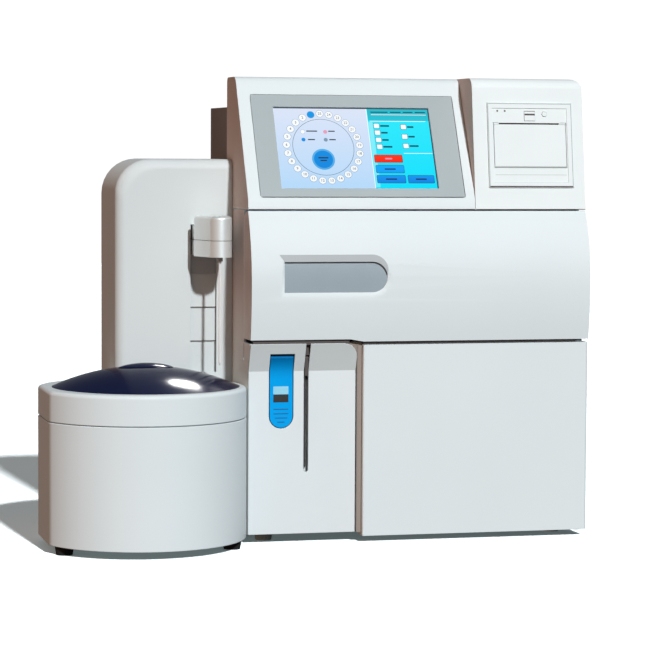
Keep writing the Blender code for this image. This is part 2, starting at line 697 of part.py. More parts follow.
def make_sample_lever():
    """The lever that swings the needle out: lever, cross shaft with the needle holder, and needle."""
    pivot_y = bay_front(LEVER_PIVOT_Z) + LEVER_SETBACK / math.cos(math.atan(BAY_SLOPE))
    pivot = (0.0, pivot_y, LEVER_PIVOT_Z)
    x = (LEVER_LEFT, LEVER_LEFT + LEVER_WIDTH)
    tilt = math.degrees(math.atan(BAY_SLOPE))
    crown = arc(pivot[1:], LEVER_SETBACK, 180 - tilt, 0, ROUND_STEPS // 2)
    foot = bay_front(BAY_FOLD)
    side = [
        (foot, LEVER_LOW), (foot, BAY_FOLD), *crown,
        (foot + PLATE, BAY_FOLD - PLATE), (foot + PLATE, LEVER_LOW),
    ]
    lever = piece("sample_lever", prism("X", x[0], x[1], side), LEVER_BLUE, pivot=pivot)
    middle = LEVER_LEFT + LEVER_WIDTH / 2
    face = slot_outline(middle, LEVER_WIDTH, LEVER_LOW, LEVER_PIVOT_Z + LEVER_SETBACK + OVERRUN)
    keep(lever, prism("Y", -OVERRUN, SHELL_DEPTH, face))
    cut(lever, rod("X", x[0] - OVERRUN, x[1] + OVERRUN, pivot[1:], SHAFT_RADIUS + SEAT_GAP))
    shaft_x = (x[0] - RUN_GAP - PLATE - SEAT_GAP, SLOT_X + HOLDER_WIDTH / 2 + RUN_GAP + PLATE + SEAT_GAP)
    shaft = rod("X", shaft_x[0], shaft_x[1], pivot[1:], SHAFT_RADIUS)
    arm = piece("needle_arm", shaft, STEEL, pivot=pivot)
    needle_y = pivot_y + NEEDLE_SETBACK
    holder_x = (SLOT_X - HOLDER_WIDTH / 2, SLOT_X + HOLDER_WIDTH / 2)
    half = SHAFT_RADIUS + BRACKET_GAP
    body = rounded(
        rectangle(pivot_y - half, needle_y + half, LEVER_PIVOT_Z - HOLDER_HEIGHT, LEVER_PIVOT_Z + half),
        (NEEDLE_RADIUS, NEEDLE_RADIUS, half, half - NEEDLE_RADIUS),
    )
    join(arm, prism("X", holder_x[0], holder_x[1], body))
    socket = LEVER_PIVOT_Z - HOLDER_HEIGHT / 2
    bore = NEEDLE_RADIUS + SEAT_GAP / 2
    cut(arm, rod("Z", LEVER_PIVOT_Z - HOLDER_HEIGHT - OVERRUN, socket, (SLOT_X, needle_y), bore, 12))
    needle = loft("Z", [
        (NEEDLE_TIP_Z, circle((SLOT_X, needle_y), NEEDLE_RADIUS / 2, 12)),
        (NEEDLE_TIP_Z + NEEDLE_RADIUS, circle((SLOT_X, needle_y), NEEDLE_RADIUS, 12)),
        (socket - SEAT_GAP, circle((SLOT_X, needle_y), NEEDLE_RADIUS, 12)),
    ])
    piece("stat_needle", needle, STEEL, pivot=pivot)
    reach = math.hypot(NEEDLE_SETBACK + half, half) + RUN_GAP
    low, high = LEVER_PIVOT_Z - LEVER_SETBACK, BAY_TOP - PLATE
    behind = WALL / math.cos(math.radians(tilt)) + SEAT_GAP
    back = pivot_y + reach
    bearing = piece("lever_bearings", block(
        (shaft_x[0], shaft_x[1]), (back, back + PLATE), (low, high)), STEEL)
    for left in (shaft_x[0], shaft_x[1] - PLATE):
        cheek = [
            (bay_front(low) + behind, low), (bay_front(high) + behind, high), (back + PLATE / 2, high),
            (back + PLATE / 2, low),
        ]
        join(bearing, prism("X", left, left + PLATE, cheek))
    cut(bearing, rod("X", shaft_x[0] - OVERRUN, shaft_x[1] + OVERRUN, pivot[1:], SHAFT_RADIUS + SEAT_GAP))


def door_skin(low, high, shrink=0.0):
    """The middle door's bulged front, as side points from low to high."""
    points = []
    for i in range(BULGE_STEPS + 1):
        z = low + (high - low) * i / BULGE_STEPS
        reach = (z - DOOR_BULGE_Z) / ((DOOR_TOP if z > DOOR_BULGE_Z else DOOR_LOW) - DOOR_BULGE_Z)
        end = DOOR_TOP_Y if z > DOOR_BULGE_Z else DOOR_LOW_Y
        points.append((DOOR_BULGE_Y + (end - DOOR_BULGE_Y) * reach ** 2 + shrink, z))
    return points


def make_middle_door():
    """The bulged door over the measuring chamber, hung on two pins at its top."""
    low, high = DOOR_LOW + PANEL_SEAM, DOOR_TOP
    pivot = (0.0, DOOR_PIVOT_Y, DOOR_PIVOT_Z)
    lip = DOOR_PIVOT_Y + DOOR_TOP_LIP
    side = rounded(
        [*door_skin(low, high), (lip, high), (DOOR_BACK, DOOR_PIVOT_Z - DOOR_TOP_LIP), (DOOR_BACK, low)],
        [*[0.0] * BULGE_STEPS, DOOR_CORNER, 0.0, 0.0, 0.0],
    )
    door = piece("middle_door", prism("X", 0.0, BODY_WIDTH, side), HOUSING_WHITE, pivot=pivot)
    inner = door_skin(low + WALL, high - WALL, WALL)
    inner += [(DOOR_BACK + OVERRUN, high - WALL), (DOOR_BACK + OVERRUN, low + WALL)]
    cut(door, prism("X", WALL, BODY_WIDTH - WALL, inner))
    across = (WALL, BODY_WIDTH - WALL)
    cut(door, block(across, (lip, DOOR_BACK + OVERRUN), (high - 2 * WALL, high + OVERRUN)))
    over_bay = DOOR_LOW_OVER_BAY
    bend = BLOCK_LEFT - DOOR_STEP_X
    notch = [
        (-OVERRUN, DOOR_LOW - OVERRUN), (BLOCK_LEFT, DOOR_LOW - OVERRUN), (BLOCK_LEFT, low),
        *arc((DOOR_STEP_X, over_bay - bend), bend, 75, 90, CORNER_STEPS), (-OVERRUN, over_bay),
    ]
    cut(door, prism("Y", -OVERRUN, DOOR_BACK + OVERRUN, notch))
    skin_y = DOOR_BULGE_Y
    cut(door, loft("Y", [
        (skin_y - OVERRUN, window_outline(WINDOW_BEVEL, WINDOW_BEVEL_LOW)),
        (skin_y, window_outline(WINDOW_BEVEL, WINDOW_BEVEL_LOW)),
        (skin_y + WINDOW_BEVEL_DEPTH, window_outline()),
        (skin_y + WALL + OVERRUN, window_outline()),
    ]))
    for x in (LUG_INSET, BODY_WIDTH - LUG_INSET - LUG_WIDTH):
        lug = prism("X", x, x + LUG_WIDTH, rectangle(
            DOOR_PIVOT_Y - LUG_HALF, DOOR_PIVOT_Y + LUG_HALF, DOOR_PIVOT_Z - LUG_HALF, high - WALL / 2
        ))
        join(door, lug)
        bore = DOOR_PIN_RADIUS + KNUCKLE_BORE
        cut(door, rod("X", x - RUN_GAP, x + LUG_WIDTH + RUN_GAP, pivot[1:], bore))
    pane = piece("door_window", door_pane(), WINDOW_GREY, pivot=pivot)
    keep(pane, prism("Y", skin_y, DOOR_BACK, window_outline(WINDOW_SKIRT, WINDOW_SKIRT)))
    make_door_brackets(pivot)


def window_outline(grow=0.0, grow_low=0.0):
    """The window: square on the left, half round on the right."""
    low, high = WINDOW_LOW - grow_low, WINDOW_HIGH + (grow_low or grow)
    radius = (high - low) / 2
    bend = arc((WINDOW_RIGHT + grow - radius, (low + high) / 2), radius, -90, 90, ROUND_STEPS // 2)
    return [(WINDOW_LEFT - grow, low), *bend, (WINDOW_LEFT - grow, high)]


def door_pane():
    """The window pane, a sheet that follows the back of the door's skin."""
    near = door_skin(WINDOW_LOW - WINDOW_SKIRT, WINDOW_HIGH + WINDOW_SKIRT, WALL + SEAT_GAP)
    far = [(y + WINDOW_THICK, z) for y, z in reversed(near)]
    return prism("X", WINDOW_LEFT - WINDOW_SKIRT, WINDOW_RIGHT + WINDOW_SKIRT, near + far)


def make_door_brackets(pivot):
    """The rod that the middle door's lugs turn on, with a plate at each end on the side walls."""
    near, inner = WALL + SEAT_GAP, LUG_INSET - RUN_GAP
    low, shelf = DOOR_PIVOT_Z - BRACKET_HEIGHT, DOOR_PIVOT_Z - BRACKET_DROP
    front, back = DOOR_PIVOT_Y - DOOR_PIN_RADIUS, DOOR_PIVOT_Y + DOOR_PIN_RADIUS
    end = DOOR_PIVOT_Y + BRACKET_REACH
    arm = [
        (front, low), (end, low), (end, shelf), (back, shelf),
        (back, DOOR_PIVOT_Z), (front, DOOR_PIVOT_Z),
    ]
    bar = rod("X", near + WALL / 2, BODY_WIDTH - near - WALL / 2, pivot[1:], DOOR_PIN_RADIUS)
    hanger = piece("door_hinge_rod", bar, STEEL)
    for x in ((near, inner), (BODY_WIDTH - inner, BODY_WIDTH - near)):
        join(hanger, prism("X", x[0], x[1], arm))


def make_reagent_door():
    """The large flat door over the reagent pack, a shallow tray hung on a pin at its right."""
    pivot = (BODY_WIDTH - REAGENT_PIVOT_INSET, REAGENT_PIVOT_Y, 0.0)
    low, high = -REAGENT_DOOR_DROP, BLOCK_HEIGHT
    plan = rounded(
        rectangle(BLOCK_LEFT, BODY_WIDTH, 0.0, REAGENT_DOOR_DEPTH),
        (REAGENT_EDGE / 2, REAGENT_EDGE, 0.0, 0.0),
    )
    door = piece("reagent_door", prism("Z", low, high, plan), HOUSING_WHITE, pivot=pivot)
    hollow = block(
        (BLOCK_LEFT + WALL, BODY_WIDTH - WALL), (WALL, REAGENT_DOOR_DEPTH + OVERRUN),
        (low + WALL, high - WALL),
    )
    cut(door, hollow)
    for z in (low + WALL, (low + high - KNUCKLE_LENGTH) / 2, high - WALL - KNUCKLE_LENGTH):
        bottom = z - (WALL / 2 if z == low + WALL else 0.0)
        top = z + KNUCKLE_LENGTH + (WALL / 2 if z > high / 2 else 0.0)
        join(door, merge(
            block((pivot[0], BODY_WIDTH - WALL / 2),
                  (pivot[1] - KNUCKLE_RADIUS, pivot[1] + KNUCKLE_RADIUS), (bottom, top))))
        join(door, rod("Z", bottom, top, pivot[:2], KNUCKLE_RADIUS))
    cut(door, rod("Z", low - OVERRUN, high + OVERRUN, pivot[:2], REAGENT_PIN_RADIUS + KNUCKLE_BORE))
    top_of_tab = low - SEAT_GAP
    pin = rod("Z", top_of_tab - HINGE_TAB, SHELF_Z - SEAT_GAP, pivot[:2], REAGENT_PIN_RADIUS)
    hanger = piece("reagent_hinge_pin", pin, STEEL)
    under_base = BEHIND_REAGENT_DOOR + 2 * PLATE
    tabs = (
        (top_of_tab - HINGE_TAB, top_of_tab, under_base),
        (BLOCK_HEIGHT + SEAT_GAP, SHELF_Z - SEAT_GAP, DOOR_BACK + PLATE),
    )
    for bottom, top, back in tabs:
        join(hanger, block(
            (pivot[0] - KNUCKLE_RADIUS, pivot[0] + KNUCKLE_RADIUS),
            (pivot[1] - REAGENT_PIN_RADIUS, back), (bottom, top),
        ))
    join(hanger, block(
        (pivot[0] - KNUCKLE_RADIUS, pivot[0] + KNUCKLE_RADIUS),
        (BEHIND_REAGENT_DOOR, under_base), (top_of_tab - HINGE_TAB / 2, -SEAT_GAP),
    ))


def head_outline(tilt, crest):
    """The side of a head: a low band, a leaning face, a rounded crest and a square back."""
    face_top = BAND_TOP_Y + (HEAD_TOP - BAND_TOP_Z) * math.tan(tilt)
    return rounded(
        [(BAND_BASE_Y, HEAD_BASE), (BAND_TOP_Y, BAND_TOP_Z), (face_top, HEAD_TOP),
         (SHELL_DEPTH, HEAD_TOP), (SHELL_DEPTH, HEAD_BASE)],
        (0.0, 0.0, crest, WALL * 2, 0.0),
    )


def make_head(name, left, right, tilt, shoulder):
    """A moulded head cover, open underneath, with rounded shoulders on one side."""
    side = head_outline(tilt, HEAD_CREST)
    head = piece(name, prism("X", left, right, side), HOUSING_WHITE)
    if shoulder:
        front = rounded(
            rectangle(left - OVERRUN, right, HEAD_BASE - OVERRUN, HEAD_TOP), (0.0, 0.0, shoulder, 0.0)
        )
        keep(head, prism("Y", 0.0, SHELL_DEPTH + OVERRUN, front))
    inner = inset(side, WALL)
    cut(head, prism("X", left + WALL, right - WALL, inner))
    cut(head, block(
        (left + WALL, right - WALL), (BAND_TOP_Y + WALL, SHELL_DEPTH - WALL),
        (HEAD_BASE - OVERRUN, HEAD_BASE + 2 * WALL),
    ))
    return head


def make_display():
    """The display head, its bezel and the touch screen."""
    head = make_head("display_head", 0.0, HEAD_SPLIT - SEAT_GAP / 2, DISPLAY_TILT, 0.0)
    plane = empty("display_plane", (0.0, BAND_TOP_Y, BAND_TOP_Z), HOUSING, -DISPLAY_TILT)
    corners = (BEZEL_CORNER,) * 4
    outline = rounded(rectangle(BEZEL_LEFT, BEZEL_RIGHT, BEZEL_LOW, BEZEL_HIGH), corners)
    room = rounded(grown(BEZEL_LEFT, BEZEL_RIGHT, BEZEL_LOW, BEZEL_HIGH), corners)
    depth = BEZEL_THICK - BEZEL_PROUD
    cut(head, prism("Y", -OVERRUN, depth + SEAT_GAP, room), parent=plane)
    screen = (SCREEN_LEFT, SCREEN_RIGHT, SCREEN_LOW, SCREEN_LOW + SCREEN_HEIGHT)
    hole = grown(*screen)
    cut(head, prism("Y", -OVERRUN, WALL * 2, hole), parent=plane)
    bezel = piece("display_bezel", prism("Y", -BEZEL_PROUD, depth, outline), BEZEL_GREY, parent=plane)
    cut(bezel, prism("Y", -OVERRUN, OVERRUN, hole), parent=plane)
    sunk = SCREEN_SINK - BEZEL_PROUD
    glass = prism("Y", sunk, sunk + SCREEN_THICK, rectangle(*screen))
    piece("touch_screen", glass, SCREEN_GLASS, parent=plane)


def make_printer():
    """The printer head with its paper bay, door, latch, button, platen and paper roll."""
    head = make_head("printer_head", HEAD_SPLIT + SEAT_GAP / 2, BODY_WIDTH, PRINTER_TILT, HEAD_SHOULDER)
    plane = empty("printer_plane", (0.0, BAND_TOP_Y, BAND_TOP_Z), HOUSING, -PRINTER_TILT)
    left, right = FASCIA_LEFT + PANEL_MARGIN, FASCIA_RIGHT - PANEL_MARGIN
    low, high = FASCIA_LOW + PANEL_MARGIN, FASCIA_HIGH - PANEL_MARGIN
    door_low, door_high = low + STRIP_HEIGHT, high - STRIP_HEIGHT
    bay = (left - BUCKET_GROW, right + BUCKET_GROW, low - BUCKET_GROW, high + BUCKET_GROW)
    sink = FASCIA_THICK - FASCIA_PROUD
    room = grown(FASCIA_LEFT, FASCIA_RIGHT, FASCIA_LOW, FASCIA_HIGH)
    cut(head, prism("Y", -OVERRUN, sink + SEAT_GAP, room), parent=plane)
    cut(head, prism("Y", -OVERRUN, WALL + OVERRUN, grown(*bay)), parent=plane)
    outline = rounded(rectangle(FASCIA_LEFT, FASCIA_RIGHT, FASCIA_LOW, FASCIA_HIGH), (FASCIA_CORNER,) * 4)
    frame = prism("Y", -FASCIA_PROUD, sink, outline)
    fascia = piece("printer_fascia", frame, PRINTER_WHITE, parent=plane)
    panel = rectangle(left, right, low, high)
    cut(fascia, prism("Y", -OVERRUN, PANEL_SINK - FASCIA_PROUD, panel), parent=plane)
    opening = rectangle(left + RUN_GAP, right - RUN_GAP, door_low, door_high)
    cut(fascia, prism("Y", -OVERRUN, OVERRUN, opening), parent=plane)
    middle = (left + right) / 2
    latch_z = door_high + LATCH_CLEAR_Z
    place = (middle - LATCH_WIDTH / 2, middle + LATCH_WIDTH / 2, latch_z, latch_z + LATCH_HEIGHT)
    cut(fascia, prism("Y", -OVERRUN, OVERRUN, grown(*place)), parent=plane)
    button = (left + (right - left) * BUTTON_X_SHARE, latch_z + LATCH_HEIGHT - BUTTON_RADIUS)
    cut(fascia, rod("Y", -OVERRUN, OVERRUN, button, BUTTON_RADIUS + SEAT_GAP), parent=plane)
    make_bucket(plane, bay)
    make_printer_door(plane, left, right, door_low, door_high)
    front = -FASCIA_PROUD
    latch = prism("Y", front, front + LATCH_DEPTH, rectangle(*place))
    piece("printer_latch", latch, PRINTER_WHITE, parent=plane, pivot=(middle, 0.0, latch_z))
    knob = rod("Y", front, front + BUTTON_DEPTH, button, BUTTON_RADIUS)
    piece("feed_button", knob, PRINTER_WHITE, parent=plane, pivot=(button[0], 0.0, button[1]))


def make_bucket(plane, bay):
    """The paper bay behind the fascia, with the roll on its axle."""
    sink = FASCIA_THICK - FASCIA_PROUD + SEAT_GAP
    back = sink + BUCKET_DEPTH
    bucket = piece("paper_bucket", prism("Y", sink, back, rectangle(*bay)), BLACK, parent=plane)
    clear = (bay[0] + BUCKET_WALL, bay[1] - BUCKET_WALL, bay[2] + BUCKET_WALL, bay[3] - BUCKET_WALL)
    cut(bucket, prism("Y", sink - OVERRUN, back - BUCKET_WALL, rectangle(*clear)), parent=plane)
    middle = (bay[0] + bay[1]) / 2
    axis = (back - BUCKET_WALL - ROLL_RADIUS - RUN_GAP, clear[2] + ROLL_RADIUS + RUN_GAP)
    half = ROLL_WIDTH / 2
    roll = rod("X", middle - half, middle + half, axis, ROLL_RADIUS, 2 * ROUND_STEPS)
    roll_piece = piece("paper_roll", roll, PAPER, parent=plane, pivot=(middle, axis[0], axis[1]))
    reach = half + OVERRUN
    cut(roll_piece, rod("X", middle - reach, middle + reach, axis, ROLL_CORE), parent=plane)
    axle = rod("X", clear[0] - SEAT_GAP, clear[1] + SEAT_GAP, axis, ROLL_CORE - SEAT_GAP)
    join(bucket, axle, parent=plane)


def make_printer_door(plane, left, right, low, high):
    """The paper door, hinged along its bottom edge, with the platen roller behind its top."""
    x = (left + 2 * RUN_GAP, right - 2 * RUN_GAP)
    front = PANEL_SINK - FASCIA_PROUD
    half = PRINTER_DOOR_THICK / 2
    base = low + RUN_GAP
    pivot = (0.0, front + half, base + half)
    side = rounded(
        rectangle(front, front + PRINTER_DOOR_THICK, base, high - PAPER_SLOT_HEIGHT),
        (half - SEAT_GAP, half - SEAT_GAP, 0.0, 0.0),
    )
    piece("printer_door", prism("X", x[0], x[1], side), PRINTER_WHITE, parent=plane, pivot=pivot)
    top = high - PAPER_SLOT_HEIGHT - PLATEN_DROP
    centre = (front + PRINTER_DOOR_THICK + SEAT_GAP + PLATEN_RADIUS, top)
    inset_x = (x[0] + x[1] - PAPER_SLOT_WIDTH) / 2
    roller = rod("X", inset_x, inset_x + PAPER_SLOT_WIDTH, centre, PLATEN_RADIUS)
    piece("platen_roller", roller, RUBBER, parent=plane, pivot=pivot)


def make_measuring_chamber():
    """Electrodes on their manifold and a roller pump, both on the bulkhead."""
    right = ELECTRODE_LEFT + (ELECTRODE_COUNT - 1) * ELECTRODE_PITCH + ELECTRODE_WIDTH
    back = BULKHEAD_Y - SEAT_GAP
    z = (CHAMBER_Z - ELECTRODE_HEIGHT / 2, CHAMBER_Z + ELECTRODE_HEIGHT / 2)
    manifold = block(
        (ELECTRODE_LEFT - MANIFOLD_LIP, right + MANIFOLD_LIP), (back - MANIFOLD_DEPTH, back),
        (z[0] - MANIFOLD_LIP, z[1] + MANIFOLD_LIP),
    )
    piece("electrode_manifold", manifold, BEZEL_GREY)
    cells = []
    front = back - MANIFOLD_DEPTH - SEAT_GAP
    for number in range(ELECTRODE_COUNT):
        x = ELECTRODE_LEFT + number * ELECTRODE_PITCH
        body = rounded(rectangle(x, x + ELECTRODE_WIDTH, z[0], z[1]), (WALL,) * 4, 3)
        cells.append(prism("Y", front - ELECTRODE_DEPTH, front, body))
    inside = (z[0] + WALL, z[1] - WALL)
    spine = block((ELECTRODE_LEFT, right), (front - ELECTRODE_DEPTH / 3, front), inside)
    electrodes = piece("electrode_stack", spine, CLEAR_PLASTIC)
    join(electrodes, *cells)
    caps = []
    near = front - ELECTRODE_DEPTH
    for number in range(ELECTRODE_COUNT):
        centre = (ELECTRODE_LEFT + number * ELECTRODE_PITCH + ELECTRODE_WIDTH / 2, CHAMBER_Z)
        tip = near - ELECTRODE_CAP_LENGTH
        caps.append(rod("Y", tip, near + SEAT_GAP, centre, ELECTRODE_CAP_RADIUS, 16))
    join(electrodes, merge(*caps))
    half = PUMP_SIZE / 2
    square = rectangle(PUMP_X - half, PUMP_X + half, CHAMBER_Z - half, CHAMBER_Z + half)
    outline = rounded(square, (PUMP_CORNER,) * 4, 3)
    pump = piece("pump_housing", prism("Y", back - PUMP_DEPTH, back, outline), HOUSING_DARK)
    centre = (PUMP_X, CHAMBER_Z)
    floor = back - PUMP_DEPTH + PUMP_POCKET_DEPTH
    cut(pump, rod("Y", back - PUMP_DEPTH - OVERRUN, floor, centre, PUMP_POCKET_RADIUS, 2 * ROUND_STEPS))
    pivot = (PUMP_X, floor, CHAMBER_Z)
    rotor_y = (back - PUMP_DEPTH + SEAT_GAP, floor - RUN_GAP)
    disc = rod("Y", rotor_y[0], rotor_y[1], centre, PUMP_ROTOR_RADIUS - WALL)
    rotor = piece("pump_rotor", disc, PRINTER_WHITE, pivot=pivot)
    rollers = []
    for number in range(PUMP_ROLLER_COUNT):
        angle = math.tau * number / PUMP_ROLLER_COUNT
        place = (
            PUMP_X + PUMP_ROTOR_RADIUS * math.cos(angle), CHAMBER_Z + PUMP_ROTOR_RADIUS * math.sin(angle),
        )
        rollers.append(rod("Y", rotor_y[0], rotor_y[1], place, PUMP_ROLLER_RADIUS, 16))
    join(rotor, merge(*rollers))


def make_reagent_pack():
    """The boxed reagent pack that stands on the base plate, with its ports on top."""
    x = (BLOCK_LEFT + PACK_MARGIN, BODY_WIDTH - PACK_MARGIN)
    back = BULKHEAD_Y - SEAT_GAP
    y = (back - PACK_DEPTH, back)
    z = (PLATE + SEAT_GAP, PLATE + SEAT_GAP + PACK_HEIGHT)
    plan = rounded(rectangle(x[0], x[1], y[0], y[1]), (PACK_CORNER,) * 4, 3)
    pack = piece("reagent_pack", prism("Z", z[0], z[1], plan), PAPER)
    ports = []
    pitch = (x[1] - x[0]) / (PORT_COUNT + 1)
    for number in range(PORT_COUNT):
        place = (x[0] + pitch * (number + 1), (y[0] + y[1]) / 2)
        ports.append(rod("Z", z[1] - SEAT_GAP, z[1] + PORT_LENGTH, place, PORT_RADIUS, 16))
    join(pack, merge(*ports))


def make_tub():
    """The sample changer's round tub in two mouldings, with the motor that turns the tray."""
    shell = piece("tub_shell", prism("Z", 0.0, TUB_SEAM_Z, tub_outline()), HOUSING_WHITE)
    cut(shell, prism("Z", WALL, TUB_SEAM_Z + OVERRUN, tub_outline(WALL)))
    low = TUB_SEAM_Z + PANEL_SEAM
    edge = [(low, 0.0), *[
        (TUB_HEIGHT - TUB_RIM_RADIUS * (1 - math.sin(t)), TUB_RIM_RADIUS * (1 - math.cos(t)))
        for t in [math.pi / 2 * i / CORNER_STEPS for i in range(CORNER_STEPS + 1)]
    ]]
    ring = piece("tub_ring", loft("Z", [(z, tub_outline(s)) for z, s in edge]), HOUSING_WHITE)
    cut(ring, prism("Z", low - OVERRUN, TUB_HEIGHT - DECK_THICK, tub_outline(2 * WALL)))
    mouth = lid_outline(LID_RADIUS - DECK_REBATE - SEAT_GAP, DECK_REBATE)
    cut(ring, prism("Z", low, TUB_HEIGHT + OVERRUN, mouth))
    seat = lid_outline(LID_RADIUS + SEAT_GAP, 0.0)
    cut(ring, prism("Z", TUB_HEIGHT - DECK_REBATE, TUB_HEIGHT + OVERRUN, seat))
    skirt = prism("Z", TUB_SEAM_Z - SKIRT_DROP, low + WALL, tub_outline(WALL + SEAT_GAP))
    join(ring, skirt)
    cut(ring, prism("Z", TUB_SEAM_Z - SKIRT_DROP - OVERRUN, low + 2 * WALL, tub_outline(2 * WALL)))
    half = TURN_MOTOR_SIZE / 2
    top = WALL + SEAT_GAP + TURN_MOTOR_HEIGHT
    plan = rounded(rectangle(LID_X - half, LID_X + half, TUB_Y - half, TUB_Y + half), (WALL * 2,) * 4, 2)
    piece("turn_motor", prism("Z", WALL + SEAT_GAP, top, plan), BLACK)


def lid_outline(radius, slack):
    """The lid seen from above: a circle cut flat in front of the column."""
    back = COLUMN_FRONT - LID_COLUMN_GAP + SEAT_GAP - slack
    turns = [360 * i / TUB_STEPS for i in range(TUB_STEPS)]
    half = math.degrees(math.asin((back - TUB_Y) / radius))
    step = 360 / TUB_STEPS
    kept = [t for t in turns if not half - step / 3 < t < 180 - half + step / 3]
    low = sorted(t if t <= 90 else t - 360 for t in kept)
    ends = [-180 - half, *low, half]
    return [
        (LID_X + radius * math.cos(math.radians(t)), TUB_Y + radius * math.sin(math.radians(t)))
        for t in ends
    ]


def make_lid():
    """The tinted dome over the tray, cut flat at the column, with its moulded grip."""
    low = TUB_HEIGHT - DECK_REBATE + SEAT_GAP
    pivot = (LID_X, TUB_Y, low)
    ball = (LID_RADIUS ** 2 + LID_RISE ** 2) / (2 * LID_RISE)
    centre_z = low + LID_EDGE + LID_RISE - ball
    sweep = math.asin(LID_RADIUS / ball)
    turns = [sweep * (1 - i / BULGE_STEPS) for i in range(BULGE_STEPS + 1)]
    outside = [(ball * math.sin(t), centre_z + ball * math.cos(t)) for t in turns]
    inner_ball = ball - LID_WALL
    inner_sweep = math.asin((LID_RADIUS - LID_WALL) / inner_ball)
    inside = [
        (inner_ball * math.sin(t), centre_z + inner_ball * math.cos(t))
        for t in [inner_sweep * i / BULGE_STEPS for i in range(BULGE_STEPS + 1)]
    ]
    inside = [(r, max(z, low)) for r, z in inside]
    profile = [*reversed(outside), (LID_RADIUS, low), (LID_RADIUS - LID_WALL, low), *reversed(inside)]
    dome = piece("lid_dome", turned(profile, (LID_X, TUB_Y), 64), LID_NAVY, pivot=pivot)
    back = COLUMN_FRONT - LID_COLUMN_GAP
    cut(dome, block(
        (LID_X - TUB_RADIUS, LID_X + TUB_RADIUS), (back, back + TUB_RADIUS),
        (low - OVERRUN, low + 2 * LID_RISE),
    ))
    cut(dome, rod("Z", low - OVERRUN, low + 2 * LID_RISE, (NOSE_X, NOSE_Y), LID_HOLE_RADIUS))
    crest = centre_z + ball
    grip = piece("lid_grip", grip_shape(crest), LID_NAVY, pivot=pivot)
    clear = ball + SEAT_GAP
    around = [(clear * math.sin(t), centre_z + clear * math.cos(t)) for t in reversed(turns[:-1])]
    cut(grip, turned([(0.0, crest + SEAT_GAP), *around, (0.0, centre_z)], (LID_X, TUB_Y), 64))


def grip_shape(crest):
    """A long low lens that swells from the dome's crest."""
    rows = []
    half_length, half_width = GRIP_LENGTH / 2, GRIP_WIDTH / 2
    for i in range(BULGE_STEPS + 1):
        angle = math.pi / 2 * i / BULGE_STEPS
        size = max(math.cos(angle), PROBE_RADIUS / GRIP_LENGTH)
        outline = [(LID_X + half_length * size * math.cos(t), TUB_Y + half_width * size * math.sin(t))
                   for t in [math.tau * n / ROUND_STEPS for n in range(ROUND_STEPS)]]
        rows.append((crest - GRIP_SINK + (GRIP_SINK + GRIP_RISE) * math.sin(angle), outline))
    return loft("Z", rows)


def make_carousel():
    """The turning sample tray: a floor disc on its spindle, a rim and a hub with the cups between."""
    centre = (LID_X, TUB_Y)
    pivot = (LID_X, TUB_Y, TRAY_LOW)
    top_of_floor = TRAY_LOW + TRAY_FLOOR
    disc = rod("Z", TRAY_LOW, top_of_floor, centre, TRAY_RADIUS, 2 * ROUND_STEPS)
    tray = piece("tray_floor", disc, TRAY_GREY, pivot=pivot)
    shaft_low = WALL + 2 * SEAT_GAP + TURN_MOTOR_HEIGHT
    join(tray, rod("Z", shaft_low, TRAY_LOW + SEAT_GAP, centre, SPINDLE_RADIUS))
    base = top_of_floor + SEAT_GAP
    steps = 2 * ROUND_STEPS
    rim = piece("tray_rim", rod("Z", base, TRAY_TOP, centre, TRAY_RADIUS, steps), TRAY_GREY, pivot=pivot)
    cut(rim, rod("Z", base - OVERRUN, TRAY_TOP + OVERRUN, centre, TRAY_RADIUS - WALL, steps))
    hub = piece("tray_hub", rod("Z", base, TRAY_TOP, centre, HUB_RADIUS, steps), TRAY_GREY, pivot=pivot)
    join(hub, loft("Z", [
        (TRAY_TOP - WALL, circle(centre, KNOB_RADIUS)),
        (TRAY_TOP + KNOB_HEIGHT * 2 / 3, circle(centre, KNOB_RADIUS - WALL)),
        (TRAY_TOP + KNOB_HEIGHT, circle(centre, KNOB_RADIUS)),
    ]))


def column_solid(shrink, low):
    """The column's outer or inner form: rounded shoulder at the left, soft front edge."""
    high = COLUMN_HEIGHT - shrink
    front = rounded(
        rectangle(COLUMN_LEFT + shrink, COLUMN_RIGHT - shrink, low, high),
        (0.0, 0.0, 0.0, COLUMN_SHOULDER - shrink), ROUND_STEPS // 3,
    )
    face = COLUMN_FRONT + shrink
    edge = COLUMN_EDGE - shrink
    rows = []
    for i in range(CORNER_STEPS + 1):
        angle = math.pi / 2 * i / CORNER_STEPS
        move = edge * (1 - math.sin(angle))
        rows.append((face + edge * (1 - math.cos(angle)), move))
    rows.append((COLUMN_FRONT + COLUMN_DEPTH - shrink, 0.0))
    sections = []
    for y, move in rows:
        ring = [(min(x + move, COLUMN_RIGHT - shrink) if x < TRACK_X * 2 else x, z) for x, z in front]
        ring = [(x, z - move if z > low + COLUMN_SHOULDER else z) for x, z in ring]
        sections.append((y, ring))
    return loft("Y", sections)


